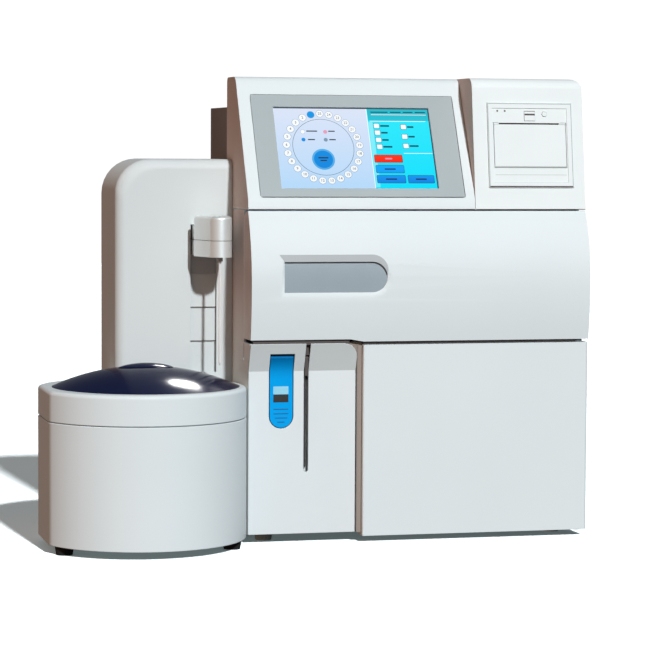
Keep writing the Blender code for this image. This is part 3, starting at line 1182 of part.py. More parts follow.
def make_column():
    """The lift column behind the tub, notched round it and slotted for the arm."""
    column = piece("column_shell", column_solid(0.0, 0.0), HOUSING_WHITE)
    clear = TUB_RADIUS + SEAT_GAP
    top = TUB_HEIGHT + SEAT_GAP
    cut(column, rod("Z", -OVERRUN, top, (TUB_X, TUB_Y), clear, TUB_STEPS))
    hollow = piece("column_hollow", column_solid(WALL, -OVERRUN), None)
    cut(hollow, rod("Z", -2 * OVERRUN, top + WALL, (TUB_X, TUB_Y), clear + WALL, TUB_STEPS))
    hollow.hide_render = True
    hollow.display_type = "WIRE"
    step = column.modifiers.new("hollow", "BOOLEAN")
    step.operation = "DIFFERENCE"
    step.solver = "EXACT"
    step.object = hollow
    track = (TRACK_X - TRACK_WIDTH / 2, TRACK_X + TRACK_WIDTH / 2)
    top = NECK_TOP + RUN_GAP
    cut(column, block(track, (COLUMN_FRONT - OVERRUN, COLUMN_FRONT + WALL + OVERRUN), (TRACK_LOW, top)))
    skirt = make_shutters(track)
    make_lift()
    make_arm(skirt)


def make_shutters(track):
    """Three telescoping slats that close the track; gives the arm's skirt that hangs above them."""
    x = (track[0] - SHUTTER_LAP, track[1] + SHUTTER_LAP)
    first = COLUMN_FRONT + WALL + SEAT_GAP
    pitch = SHUTTER_THICK + SEAT_GAP
    names = ("shutter_low", "shutter_middle", "shutter_high")
    for number, name in enumerate(names):
        low = SHUTTER_LOW + SHUTTER_PITCH * (number - 1)
        y = first + pitch * (len(names) - number)
        bottom = max(low - SHUTTER_LAP, TUB_HEIGHT + RUN_GAP + WALL)
        slat = block(x, (y, y + SHUTTER_THICK), (bottom, low + SHUTTER_PITCH))
        piece(name, slat, HOUSING_WHITE, pivot=(TRACK_X, y, bottom))
    skirt = SHUTTER_LOW + SHUTTER_PITCH * 2 - SHUTTER_LAP
    return block(x, (first, first + SHUTTER_THICK), (skirt, ARM_LOW + WALL))


def make_lift():
    """The lift inside the column: a frame with two guide rods, lead screw and motor."""
    back = COLUMN_FRONT + COLUMN_DEPTH - WALL - SEAT_GAP
    half = ROD_SPREAD / 2 + ROD_RADIUS + ROD_WALL
    x = (TRACK_X - half, TRACK_X + half)
    front = ROD_Y - ROD_RADIUS * 2
    side = [
        (front, LIFT_LOW), (back, LIFT_LOW), (back, LIFT_HIGH), (front, LIFT_HIGH),
        (front, LIFT_HIGH - LIFT_PLATE), (back - LIFT_PLATE, LIFT_HIGH - LIFT_PLATE),
        (back - LIFT_PLATE, LIFT_LOW + LIFT_PLATE), (front, LIFT_LOW + LIFT_PLATE),
    ]
    bracket = piece("lift_frame", prism("X", x[0], x[1], side), STEEL)
    low, high = LIFT_LOW + LIFT_PLATE + SEAT_GAP, LIFT_HIGH - LIFT_PLATE - SEAT_GAP
    under, over = LIFT_LOW - OVERRUN, LIFT_LOW + LIFT_PLATE + OVERRUN
    cut(bracket, rod("Z", under, over, (TRACK_X, SCREW_Y), SCREW_RADIUS + SEAT_GAP))
    ends = (LIFT_LOW + LIFT_PLATE / 2, LIFT_HIGH - LIFT_PLATE / 2)
    rods = [rod("Z", *ends, (TRACK_X + s * ROD_SPREAD / 2, ROD_Y), ROD_RADIUS, 16) for s in (-1, 1)]
    join(bracket, merge(*rods))
    screw_low = LIFT_LOW - SEAT_GAP
    piece("lead_screw", rod("Z", screw_low, high, (TRACK_X, SCREW_Y), SCREW_RADIUS, 16), CHROME,
          pivot=(TRACK_X, SCREW_Y, screw_low))
    motor_half = LIFT_MOTOR_SIZE / 2
    plan = rounded(rectangle(TRACK_X - motor_half, TRACK_X + motor_half, SCREW_Y - motor_half + WALL * 2,
                             SCREW_Y + motor_half), (WALL,) * 4, 2)
    top = LIFT_LOW - 2 * SEAT_GAP
    piece("lift_motor", prism("Z", top - LIFT_MOTOR_HEIGHT, top, plan), BLACK)


def make_arm(skirt):
    """The sampling arm in two mouldings, its carriage on the rods, and the probe in its nose."""
    pivot = (NOSE_X, NOSE_Y, ARM_LOW)
    back = COLUMN_FRONT + WALL + CARRIAGE_DEPTH / 6
    neck_x = (TRACK_X - ARM_WIDTH / 2, TRACK_X + ARM_WIDTH / 2)
    neck_y = (ARM_BACK_Y - WALL, back)
    base = prism("Z", ARM_LOW, ARM_SEAM - SEAT_GAP / 2, arm_plan())
    lower = piece("arm_lower", base, ARM_SILVER, pivot=pivot)
    join(lower, skirt)
    join(lower, block(neck_x, neck_y, (ARM_LOW + SEAT_GAP, ARM_SEAM - SEAT_GAP / 2)))
    rows = [(ARM_SEAM + SEAT_GAP / 2, arm_plan())]
    for i in range(CORNER_STEPS + 1):
        angle = math.pi / 2 * i / CORNER_STEPS
        move = ARM_EDGE * (1 - math.cos(angle))
        rows.append((ARM_TOP - ARM_EDGE * (1 - math.sin(angle)), inset(arm_plan(), move)))
    upper = piece("arm_upper", loft("Z", rows), ARM_SILVER, pivot=pivot)
    join(upper, block(neck_x, neck_y, (ARM_SEAM + SEAT_GAP / 2, NECK_TOP)))
    collar = ARM_LOW - COLLAR_LENGTH
    join(lower, rod("Z", collar, ARM_LOW + WALL, (NOSE_X, NOSE_Y), COLLAR_RADIUS, 16))
    cut(lower, rod("Z", collar - OVERRUN, ARM_SEAM - WALL, (NOSE_X, NOSE_Y), PROBE_RADIUS + SEAT_GAP, 12))
    top = ARM_SEAM - WALL - SEAT_GAP
    needle = loft("Z", [
        (PROBE_TIP_Z, circle((NOSE_X, NOSE_Y), PROBE_RADIUS / 2, 12)),
        (PROBE_TIP_Z + 2 * PROBE_RADIUS, circle((NOSE_X, NOSE_Y), PROBE_RADIUS, 12)),
        (top, circle((NOSE_X, NOSE_Y), PROBE_RADIUS, 12)),
    ])
    piece("sample_probe", needle, STEEL, pivot=pivot)
    y = (back + SEAT_GAP, SCREW_Y + SCREW_RADIUS * 2)
    middle = (ARM_LOW + ARM_TOP) / 2
    z = (middle - CARRIAGE_HEIGHT / 2, middle + CARRIAGE_HEIGHT / 2)
    wide = ROD_SPREAD / 2 + ROD_RADIUS + ROD_WALL
    carriage = piece("carriage", block((TRACK_X - wide, TRACK_X + wide), y, z), BLACK, pivot=pivot)
    low, high = z[0] - OVERRUN, z[1] + OVERRUN
    for centre_x in (TRACK_X - ROD_SPREAD / 2, TRACK_X + ROD_SPREAD / 2):
        cut(carriage, rod("Z", low, high, (centre_x, ROD_Y), ROD_RADIUS + SEAT_GAP, 16))
    cut(carriage, rod("Z", low, high, (TRACK_X, SCREW_Y), SCREW_RADIUS + SEAT_GAP, 16))


def arm_plan():
    """The arm seen from above: a round nose, a slanting left side and a square back."""
    half = ARM_WIDTH / 2
    reach = Vector((ARM_LEFT - NOSE_X, ARM_BACK_Y - NOSE_Y))
    touch = math.degrees(math.atan2(reach.y, reach.x) + math.acos(half / reach.length))
    nose = arc((NOSE_X, NOSE_Y), half, touch, 360, ROUND_STEPS)
    return [(NOSE_X + half, ARM_BACK_Y), (ARM_LEFT, ARM_BACK_Y), *nose]


clear_scene()
HOUSING = empty("housing_frame", (BODY_LEFT, BODY_FRONT, FOOT_HEIGHT))
HOUSING_WHITE = finish("housing_white", "e6ecec", 0.38)
HOUSING_DARK = finish("housing_dark", "4b4340", 0.55)
BEZEL_GREY = finish("bezel_grey", "b1bcbc", 0.35)
SCREEN_GLASS = finish("screen_glass", "9fd0f2", 0.08)
PRINTER_WHITE = finish("printer_white", "eaf1f1", 0.42)
WINDOW_GREY = finish("window_grey", "9aa9b0", 0.15, alpha=0.7)
LEVER_BLUE = finish("lever_blue", "00a2e8", 0.35)
LID_NAVY = finish("lid_navy", "23284a", 0.08, alpha=0.9)
ARM_SILVER = finish("arm_silver", "bfbab4", 0.30, 0.6)
TRAY_GREY = finish("tray_grey", "8d9499", 0.45)
STEEL = finish("steel", "b8bcc0", 0.30, 1.0)
CHROME = finish("chrome", "d8dadc", 0.12, 1.0)
BLACK = finish("black_plastic", "202224", 0.50)
RUBBER = finish("rubber", "18181a", 0.80)
PAPER = finish("paper", "f3f3ee", 0.85)
CLEAR_PLASTIC = finish("clear_plastic", "dfe8ee", 0.10, alpha=0.5)

make_feet()
make_side_panels()
make_chassis()
make_rear_housing()
make_bay_panel()
make_sample_lever()
make_middle_door()
make_reagent_door()
make_display()
make_printer()
make_measuring_chamber()
make_reagent_pack()
make_tub()
make_lid()
make_carousel()
make_column()
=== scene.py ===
import json
import math

import bmesh
import bpy
from mathutils import Matrix, Vector

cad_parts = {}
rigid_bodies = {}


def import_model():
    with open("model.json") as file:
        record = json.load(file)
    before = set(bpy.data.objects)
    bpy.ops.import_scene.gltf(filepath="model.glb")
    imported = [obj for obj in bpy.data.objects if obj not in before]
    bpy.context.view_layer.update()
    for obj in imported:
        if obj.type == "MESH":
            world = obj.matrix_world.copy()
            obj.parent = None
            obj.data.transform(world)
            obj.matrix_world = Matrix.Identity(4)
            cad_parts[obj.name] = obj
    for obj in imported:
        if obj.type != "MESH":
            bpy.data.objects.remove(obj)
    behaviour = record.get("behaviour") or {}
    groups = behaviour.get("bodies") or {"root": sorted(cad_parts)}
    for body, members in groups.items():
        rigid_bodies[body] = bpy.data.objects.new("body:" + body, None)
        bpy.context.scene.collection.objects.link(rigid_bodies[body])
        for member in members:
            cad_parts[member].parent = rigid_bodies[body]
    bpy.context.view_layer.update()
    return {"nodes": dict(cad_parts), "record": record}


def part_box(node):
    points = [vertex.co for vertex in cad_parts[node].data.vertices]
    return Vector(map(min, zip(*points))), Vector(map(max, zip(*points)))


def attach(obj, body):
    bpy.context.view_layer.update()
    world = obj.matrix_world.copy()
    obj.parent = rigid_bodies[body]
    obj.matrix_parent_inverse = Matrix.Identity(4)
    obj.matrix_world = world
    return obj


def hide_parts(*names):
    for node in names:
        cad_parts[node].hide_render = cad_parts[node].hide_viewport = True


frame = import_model()

mm = 0.001
sceneItems = bpy.context.scene.collection.objects
housing = Vector((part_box("left_side_panel")[0][0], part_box("reagent_door")[0][1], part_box("tub_shell")[0][2]))


def at(x, y, z):
    # millimetres from the main body's left side, its front and its bottom edge
    return housing + Vector((x, y, z)) * mm


def linearColour(hexText, alpha=1.0):
    channels = []
    for start in (1, 3, 5):
        value = int(hexText[start:start + 2], 16) / 255
        channels.append(value / 12.92 if value <= 0.04045 else ((value + 0.055) / 1.055) ** 2.4)
    return (*channels, alpha)


def addNode(tree, kind, settings=None, links=None):
    # a setting is one of the node's own values or else an input's, and links feed inputs from other nodes
    node = tree.nodes.new(kind)
    for key, value in (settings or {}).items():
        if isinstance(key, str) and hasattr(node, key):
            setattr(node, key, value)
        else:
            node.inputs[key].default_value = value
    for key, source in (links or {}).items():
        tree.links.new(source, node.inputs[key])
    return node


def newMaterial(name):
    made = bpy.data.materials.new(name)
    made.use_nodes = True
    return made, made.node_tree, made.node_tree.nodes["Principled BSDF"]


# how fine the patterns are drawn, and what a moulding has where its own look doesn't say
patternLook = {"driftDetail": 3.0, "grainDetail": 4.0, "streakDetail": 5.0, "dotDetail": 1.0}
plainLook = {"gain": 1.0, "ior": 1.53, "coat": 0.0, "coatRoughness": 0.08, "metallic": 0.0, "specular": 0.5}


def moulded(name, look):
    # a moulded plastic: slow drift of tone, fine eroded grain, and slightly uneven gloss
    look = {**plainLook, **look}
    made, tree, shader = newMaterial(name)
    where = addNode(tree, "ShaderNodeTexCoord").outputs["Object"]
    drift = addNode(tree, "ShaderNodeTexNoise", {
        "Scale": 1 / (look["driftMm"] * mm), "Detail": patternLook["driftDetail"],
    }, {"Vector": where})
    tone = addNode(tree, "ShaderNodeMix", {
        "data_type": "RGBA", 6: linearColour(look["colour"]), 7: linearColour(look["shade"]),
    }, {0: drift.outputs["Fac"]})
    brighter = addNode(tree, "ShaderNodeVectorMath", {"operation": "SCALE", "Scale": look["gain"]}, {
        0: tone.outputs[2],
    })
    tree.links.new(brighter.outputs["Vector"], shader.inputs["Base Color"])
    grain = addNode(tree, "ShaderNodeTexNoise", {
        "Scale": 1 / (look["grainMm"] * mm), "Detail": patternLook["grainDetail"],
    }, {"Vector": where})
    gloss = addNode(tree, "ShaderNodeMapRange", {
        "To Min": look["roughness"] - look["spread"], "To Max": look["roughness"] + look["spread"],
    }, {"Value": grain.outputs["Fac"]})
    tree.links.new(gloss.outputs["Result"], shader.inputs["Roughness"])
    if "shadeFade" in look:
        # painted shade: the tone runs over to another one between two heights
        height = addNode(tree, "ShaderNodeSeparateXYZ", {}, {"Vector": where}).outputs["Z"]
        share = addNode(tree, "ShaderNodeMapRange", {
            "interpolation_type": "SMOOTHSTEP", "From Min": at(0, 0, look["shadeFade"][0])[2],
            "From Max": at(0, 0, look["shadeFade"][1])[2],
        }, {"Value": height})
        fading = addNode(tree, "ShaderNodeMix", {"data_type": "RGBA", 7: linearColour(look["shadeFade"][2])}, {
            0: share.outputs["Result"], 6: brighter.outputs["Vector"],
        })
        tree.links.new(fading.outputs[2], shader.inputs["Base Color"])
    bump = addNode(tree, "ShaderNodeBump", {
        "Strength": look["bump"], "Distance": look["depthMm"] * mm,
    }, {"Height": grain.outputs["Fac"]})
    tree.links.new(bump.outputs["Normal"], shader.inputs["Normal"])
    shader.inputs["IOR"].default_value = look["ior"]
    shader.inputs["Coat Weight"].default_value = look["coat"]
    shader.inputs["Coat Roughness"].default_value = look["coatRoughness"]
    shader.inputs["Metallic"].default_value = look["metallic"]
    shader.inputs["Specular IOR Level"].default_value = look["specular"]
    return made


def brushed(name, look):
    # drawn or rolled metal: long fine streaks along one axis
    made, tree, shader = newMaterial(name)
    where = addNode(tree, "ShaderNodeTexCoord").outputs["Object"]
    stretch = addNode(tree, "ShaderNodeMapping", {"Scale": look["stretch"]}, {"Vector": where})
    streak = addNode(tree, "ShaderNodeTexNoise", {
        "Scale": 1 / (look["streakMm"] * mm), "Detail": patternLook["streakDetail"],
    }, {"Vector": stretch.outputs["Vector"]})
    tone = addNode(tree, "ShaderNodeMix", {
        "data_type": "RGBA", 6: linearColour(look["colour"]), 7: linearColour(look["shade"]),
    }, {0: streak.outputs["Fac"]})
    tree.links.new(tone.outputs[2], shader.inputs["Base Color"])
    gloss = addNode(tree, "ShaderNodeMapRange", {
        "To Min": look["roughness"] - look["smoother"], "To Max": look["roughness"] + look["rougher"],
    }, {"Value": streak.outputs["Fac"]})
    tree.links.new(gloss.outputs["Result"], shader.inputs["Roughness"])
    bump = addNode(tree, "ShaderNodeBump", {
        "Strength": look["bump"], "Distance": look["depthMm"] * mm,
    }, {"Height": streak.outputs["Fac"]})
    tree.links.new(bump.outputs["Normal"], shader.inputs["Normal"])
    shader.inputs["Metallic"].default_value = 1.0
    return made


# the display's dots are drawn coarser than the real 0.2 mm
displayLook = {"dotMm": 0.8, "dotShare": 0.05, "glass": "#14181c", "smoothest": 0.06, "roughest": 0.12, "specular": 0.3}


def lit(name, top, bottom, low, high, strength):
    # a lit display area: its own light runs in tone from bottom to top, over dark glass
    made, tree, shader = newMaterial(name)
    where = addNode(tree, "ShaderNodeTexCoord").outputs["Object"]
    height = addNode(tree, "ShaderNodeSeparateXYZ", {}, {"Vector": where}).outputs["Z"]
    share = addNode(tree, "ShaderNodeMapRange", {
        "From Min": at(0, 0, low)[2], "From Max": at(0, 0, high)[2],
    }, {"Value": height})
    dots = addNode(tree, "ShaderNodeTexNoise", {
        "Scale": 1 / (displayLook["dotMm"] * mm), "Detail": patternLook["dotDetail"],
    }, {"Vector": where})
    blend = addNode(tree, "ShaderNodeMath", {"operation": "MULTIPLY_ADD", 1: displayLook["dotShare"]}, {
        0: dots.outputs["Fac"], 2: share.outputs["Result"],
    })
    tone = addNode(tree, "ShaderNodeMix", {
        "data_type": "RGBA", 6: linearColour(bottom), 7: linearColour(top),
    }, {0: blend.outputs["Value"]})
    tree.links.new(tone.outputs[2], shader.inputs["Emission Color"])
    sheen = addNode(tree, "ShaderNodeMapRange", {
        "To Min": displayLook["smoothest"], "To Max": displayLook["roughest"],
    }, {"Value": dots.outputs["Fac"]})
    tree.links.new(sheen.outputs["Result"], shader.inputs["Roughness"])
    shader.inputs["Base Color"].default_value = linearColour(displayLook["glass"])
    shader.inputs["Emission Strength"].default_value = strength
    shader.inputs["Specular IOR Level"].default_value = displayLook["specular"]
    return made


print("materials")
# injection moulded ABS with a fine eroded texture: cool off-white with a soft sheen
# the grain is drawn coarser than the real 0.2 mm so that it shows in the render
housingAbs = moulded("housingAbs", {
    "colour": "#e1eaec", "shade": "#dae4e6", "driftMm": 120, "grainMm": 1.1,
    "roughness": 0.50, "spread": 0.04, "bump": 0.08, "depthMm": 0.05, "specular": 0.14,
})
# the same ABS on the sampling bay, a little smoother
bayAbs = moulded("bayAbs", {
    "colour": "#e2eaec", "shade": "#dce4e6", "driftMm": 60, "grainMm": 0.9,
    "roughness": 0.46, "spread": 0.03, "bump": 0.06, "depthMm": 0.04, "specular": 0.14,
})
# painted shade on the housing's left-facing faces: the same ABS in a warmer grey, darker higher up and paler low down
# where the tub lights it
sideShadeAbs = moulded("sideShadeAbs", {
    "colour": "#f2ece2", "shade": "#ebe4da", "driftMm": 90, "grainMm": 1.1,
    "roughness": 0.55, "spread": 0.04, "bump": 0.08, "depthMm": 0.05, "specular": 0.1,
    "shadeFade": (150, 250, "#cdb8ae"),
})
# the same ABS on the lift column and its slats, a little greyer; on the bay's leaning part and the slot's liner it is
# painted shade
columnAbsAndShade = moulded("columnAbsAndShade", {
    "colour": "#d6dddd", "shade": "#cfd7d8", "driftMm": 110, "grainMm": 1.1,
    "roughness": 0.50, "spread": 0.04, "bump": 0.08, "depthMm": 0.05, "specular": 0.14,
})
# painted shade in mid grey ABS, satin: over the window and on the arm's skirt
shadeGreyAbs = moulded("shadeGreyAbs", {
    "colour": "#b6bdbf", "shade": "#aeb5b7", "driftMm": 60, "grainMm": 1.0,
    "roughness": 0.5, "spread": 0.04, "bump": 0.06, "depthMm": 0.04, "specular": 0.14,
})
# textured paint on the rear cover: dark warm grey, matt, with a pebbled grain
darkCoat = moulded("darkCoat", {
    "colour": "#857a78", "shade": "#786e6c", "driftMm": 90, "grainMm": 1.6,
    "roughness": 0.58, "spread": 0.06, "bump": 0.35, "depthMm": 0.12, "specular": 0.2,
})
# grey ABS trim round the screen, satin
trimAbs = moulded("trimAbs", {
    "colour": "#a8b4b7", "shade": "#a0acaf", "driftMm": 70, "grainMm": 0.9,
    "roughness": 0.40, "spread": 0.04, "bump": 0.08, "depthMm": 0.04,
})
# satin white polycarbonate of the printer
printerPc = moulded("printerPc", {
    "colour": "#ebf3f3", "shade": "#e4ecec", "driftMm": 40, "grainMm": 0.8,
    "roughness": 0.46, "spread": 0.04, "bump": 0.06, "depthMm": 0.04, "specular": 0.2,
})
# tinted acrylic of the lid: nearly black navy, polished like glass
smokedAcrylic = moulded("smokedAcrylic", {
    "colour": "#171c38", "shade": "#1d2341", "driftMm": 80, "grainMm": 6.0,
    "roughness": 0.09, "spread": 0.02, "bump": 0.01, "depthMm": 0.04, "ior": 1.07,
})
# grey translucent polycarbonate of the door's window, lightly frosted
windowPc = moulded("windowPc", {
    "colour": "#a3b1b8", "shade": "#98a6ae", "driftMm": 30, "grainMm": 1.2,
    "roughness": 0.26, "spread": 0.04, "bump": 0.05, "depthMm": 0.04, "coat": 0.3,
})
# bright blue moulded lever, satin, with painted shade darkening it towards its upper end in the recess
leverAbsAndShade = moulded("leverAbsAndShade", {
    "colour": "#00a8f4", "shade": "#009fea", "driftMm": 25, "grainMm": 0.8,
    "roughness": 0.46, "spread": 0.03, "bump": 0.06, "depthMm": 0.04, "specular": 0.08,
    "shadeFade": (146, 172, "#0068a2"),
})
# pale cyan printed plate on the lever, satin
plateCyan = moulded("plateCyan", {
    "colour": "#9fdcf2", "shade": "#93d2ea", "driftMm": 9, "grainMm": 0.7,
    "roughness": 0.42, "spread": 0.03, "bump": 0.04, "depthMm": 0.03,
})
# silver lacquer on the sampling arm, with metal flake
silverLacquer = moulded("silverLacquer", {
    "colour": "#eef6f6", "shade": "#e4ecec", "driftMm": 14, "grainMm": 0.7,
    "roughness": 0.44, "spread": 0.05, "bump": 0.05, "depthMm": 0.03, "metallic": 0.6, "gain": 1.16,
})
# satin steel tube of the sampling probe, ground and bright
satinSteel = moulded("satinSteel", {
    "colour": "#f2f5f5", "shade": "#e6e9e9", "driftMm": 6, "grainMm": 0.7,
    "roughness": 0.4, "spread": 0.05, "bump": 0.05, "depthMm": 0.03, "metallic": 0.3, "gain": 1.15,
})
# grey moulded tray parts, satin
trayAbs = moulded("trayAbs", {
    "colour": "#8f969b", "shade": "#7f868b", "driftMm": 40, "grainMm": 1.0,
    "roughness": 0.48, "spread": 0.05, "bump": 0.15, "depthMm": 0.05,
})
# black moulded nylon, matt
blackNylon = moulded("blackNylon", {
    "colour": "#26282b", "shade": "#1c1e20", "driftMm": 30, "grainMm": 1.0,
    "roughness": 0.52, "spread": 0.06, "bump": 0.2, "depthMm": 0.06,
})
# moulded rubber of the feet and roller, dull
footRubber = moulded("footRubber", {
    "colour": "#1c1d1e", "shade": "#111213", "driftMm": 20, "grainMm": 0.9,
    "roughness": 0.82, "spread": 0.06, "bump": 0.3, "depthMm": 0.08,
})
# greyer rubber of the main body's feet, dull, lost in the shade under the body
paleRubber = moulded("paleRubber", {
    "colour": "#b4c0c0", "shade": "#aab6b6", "driftMm": 20, "grainMm": 0.9,
    "roughness": 0.82, "spread": 0.06, "bump": 0.3, "depthMm": 0.08,
})
# painted shade in the groove beside the bay: a warm grey strip, matt
grooveShadeGrey = moulded("grooveShadeGrey", {
    "colour": "#978c84", "shade": "#8e837b", "driftMm": 30, "grainMm": 1.0,
    "roughness": 0.75, "spread": 0.05, "bump": 0.08, "depthMm": 0.05,
})
# coated card and paper, matt with fibres
cardStock = moulded("cardStock", {
    "colour": "#f3f3ee", "shade": "#e6e6df", "driftMm": 9, "grainMm": 1.4,
    "roughness": 0.80, "spread": 0.05, "bump": 0.12, "depthMm": 0.04,
})
# clear moulded cells, drawn as pale milky plastic
cellPlastic = moulded("cellPlastic", {
    "colour": "#d5e0e6", "shade": "#c5d2da", "driftMm": 12, "grainMm": 2.0,
    "roughness": 0.16, "spread": 0.03, "bump": 0.04, "depthMm": 0.04, "coat": 0.6,
})
# painted shade of grooves, seams and slots: a dark warm plastic that stands in for the shade deep in them
seamShade = moulded("seamShade", {
    "colour": "#57504f", "shade": "#4a4443", "driftMm": 20, "grainMm": 1.0,
    "roughness": 0.75, "spread": 0.05, "bump": 0.1, "depthMm": 0.05,
})
# the same plastic in the soft shade of a fine moulded line, matt grey
lineGrey = moulded("lineGrey", {
    "colour": "#a4aeae", "shade": "#99a3a3", "driftMm": 20, "grainMm": 1.0,
    "roughness": 0.60, "spread": 0.05, "bump": 0.05, "depthMm": 0.04,
})
# painted shade of the grooves in the lever's grip, deep blue
leverGrooveShade = moulded("leverGrooveShade", {
    "colour": "#0b5f9c", "shade": "#08558c", "driftMm": 12, "grainMm": 0.7,
    "roughness": 0.45, "spread": 0.03, "bump": 0.04, "depthMm": 0.03,
})
# rolled steel sheet, brushed along X
sheetSteel = brushed("sheetSteel", {
    "colour": "#b9bdc1", "shade": "#9da2a7", "roughness": 0.34, "smoother": 0.06, "rougher": 0.08,
    "streakMm": 1.2, "stretch": (0.05, 1.0, 1.0), "bump": 0.15, "depthMm": 0.05,
})
# drawn stainless tube and ground rods, streaked along Z
drawnSteel = brushed("drawnSteel", {
    "colour": "#cfd2d5", "shade": "#a9adb2", "roughness": 0.20, "smoother": 0.06, "rougher": 0.08,
    "streakMm": 0.8, "stretch": (1.0, 1.0, 0.03), "bump": 0.15, "depthMm": 0.05,
})

print("camera")
photoView = {
    "placeMm": (-516.6, -2380.3, 365.1), "forward": (0.24122, 0.96802, -0.06899),
    "up": (0.01134, 0.06827, 0.9976), "lensMm": 141.98, "sensorMm": 36.0, "farthest": 50.0,
}
cameraData = bpy.data.cameras.new("photoCamera")
cameraData.lens = photoView["lensMm"]
cameraData.sensor_width = photoView["sensorMm"]
cameraData.sensor_height = photoView["sensorMm"]
cameraData.clip_end = photoView["farthest"]
camera = bpy.data.objects.new("photoCamera", cameraData)
sceneItems.link(camera)
forward = Vector(photoView["forward"]).normalized()
side = forward.cross(Vector(photoView["up"])).normalized()
upward = side.cross(forward)
turn = Matrix((side, upward, -forward)).transposed().to_4x4()
camera.matrix_world = Matrix.Translation(at(*photoView["placeMm"])) @ turn
bpy.context.scene.camera = camera

print("light")
studio = {
    "front": "#626568", "backdrop": "#ffffff", "backdropStrength": 1.05, "mirroredShare": 0.6,
    # each other side's colour, with the axis along which it takes over and where it starts and is full
    "sides": (
        ("#9ea2a6", "Y", 0.45, 0.95), ("#bc9680", "X", -0.1, -0.5), ("#3c4043", "X", 0.1, 0.6),
        ("#525a60", "Z", 0.3, 0.85), ("#34383a", "Z", -0.1, -0.6),
    ),
    "keyTurn": 5.4, "keyRise": 31.0, "keyStrength": 3.12, "keyAngle": 2.5, "keyColour": "#fbfdff",
    "floorKeyStrength": 2.4, "sunDistance": 3,
    # the lid's own highlights: turn, rise, width and power of each lamp
    "lidAt": (-71.6, -42.4, 148.6), "lidDistance": 2.0,
    "lidLamps": {"lidGlint": (19.6, 36.5, 0.22, 130.0), "lidSecond": (27.5, 31.0, 0.12, 8.0)},
}
bpy.context.scene.view_settings.view_transform = "Standard"
world = bpy.data.worlds.new("studioWorld")
bpy.context.scene.world = world
world.use_nodes = True
sky = world.node_tree
ray = addNode(sky, "ShaderNodeTexCoord").outputs["Generated"]
axes = addNode(sky, "ShaderNodeSeparateXYZ", {}, {"Vector": ray}).outputs
skyTone = addNode(sky, "ShaderNodeRGB").outputs["Color"]
skyTone.default_value = linearColour(studio["front"])
for tone, axis, low, high in studio["sides"]:
    share = addNode(sky, "ShaderNodeMapRange", {
        "interpolation_type": "SMOOTHSTEP", "From Min": low, "From Max": high,
    }, {"Value": axes[axis]})
    skyTone = addNode(sky, "ShaderNodeMix", {"data_type": "RGBA", 7: linearColour(tone)}, {
        0: share.outputs["Result"], 6: skyTone,
    }).outputs[2]
sky.links.new(skyTone, sky.nodes["Background"].inputs["Color"])
# polished faces mirror a darker room than the one that lights the matt ones
rays = addNode(sky, "ShaderNodeLightPath").outputs
mirrored = addNode(sky, "ShaderNodeMapRange", {"To Min": 1.0, "To Max": studio["mirroredShare"]}, {
    "Value": rays["Is Glossy Ray"],
})
sky.links.new(mirrored.outputs["Result"], sky.nodes["Background"].inputs["Strength"])
backdrop = addNode(sky, "ShaderNodeBackground", {
    "Color": linearColour(studio["backdrop"]), "Strength": studio["backdropStrength"],
})
pick = addNode(sky, "ShaderNodeMixShader", {}, {
    0: rays["Is Camera Ray"], 1: sky.nodes["Background"].outputs["Background"], 2: backdrop.outputs["Background"],
})
sky.links.new(pick.outputs["Shader"], sky.nodes["World Output"].inputs["Surface"])


def towards(turnDegrees, riseDegrees):
    # a direction from its turn to the right of straight back and its rise above level
    turned, risen = math.radians(turnDegrees), math.radians(riseDegrees)
    return Vector((math.sin(turned) * math.cos(risen), math.cos(turned) * math.cos(risen), math.sin(risen)))


def addLamp(name, kind, energy, source, place=None):
    data = bpy.data.lights.new(name, kind)
    data.energy = energy
    lamp = bpy.data.objects.new(name, data)
    sceneItems.link(lamp)
    lamp.location = place or source * studio["sunDistance"]
    lamp.rotation_euler = (-source).to_track_quat("-Z", "Y").to_euler()
    return lamp


keySource = towards(180 - studio["keyTurn"], studio["keyRise"])
key = addLamp("keyLight", "SUN", studio["keyStrength"], keySource)
key.data.angle = math.radians(studio["keyAngle"])
key.data.color = linearColour(studio["keyColour"])[:3]
# the table gets a second lamp from the same side, which keeps it paper white
tableOnly = bpy.data.collections.new("tableOnly")
tableKey = addLamp("tableLight", "SUN", studio["floorKeyStrength"], keySource)
tableKey.data.angle = key.data.angle
tableKey.light_linking.receiver_collection = tableOnly
lidOnly = bpy.data.collections.new("lidOnly")
for name, (turned, risen, width, power) in studio["lidLamps"].items():
    source = towards(turned, risen)
    lamp = addLamp(name, "AREA", power, source, at(*studio["lidAt"]) + source * studio["lidDistance"])
    lamp.data.shape = "DISK"
    lamp.data.size = width
    lamp.data.use_shadow = False
    lamp.visible_diffuse = False
    lamp.light_linking.receiver_collection = lidOnly

print("floor")
floorLook = {"width": 12.0, "glow": "#4c5758", "glowStrength": 1.0}
floorShape = bmesh.new()
bmesh.ops.create_grid(floorShape, x_segments=2, y_segments=2, size=floorLook["width"] / 2)
floorMesh = bpy.data.meshes.new("floor")
floorShape.to_mesh(floorMesh)
floorShape.free()
# frosted white acrylic table, faintly lit from below, so that no shade on it is black
tableAcrylic = moulded("tableAcrylic", {
    "colour": "#eff6f7", "shade": "#ecf4f6", "driftMm": 300, "grainMm": 2.0,
    "roughness": 0.85, "spread": 0.05, "bump": 0.02, "depthMm": 0.05, "gain": 1.45, "specular": 0.1,
})
glow = tableAcrylic.node_tree.nodes["Principled BSDF"]
glow.inputs["Emission Color"].default_value = linearColour(floorLook["glow"])
glow.inputs["Emission Strength"].default_value = floorLook["glowStrength"]
floorMesh.materials.append(tableAcrylic)
floor = bpy.data.objects.new("floor", floorMesh)
sceneItems.link(floor)
tableOnly.objects.link(floor)
floor.visible_diffuse = False
floor.visible_glossy = False


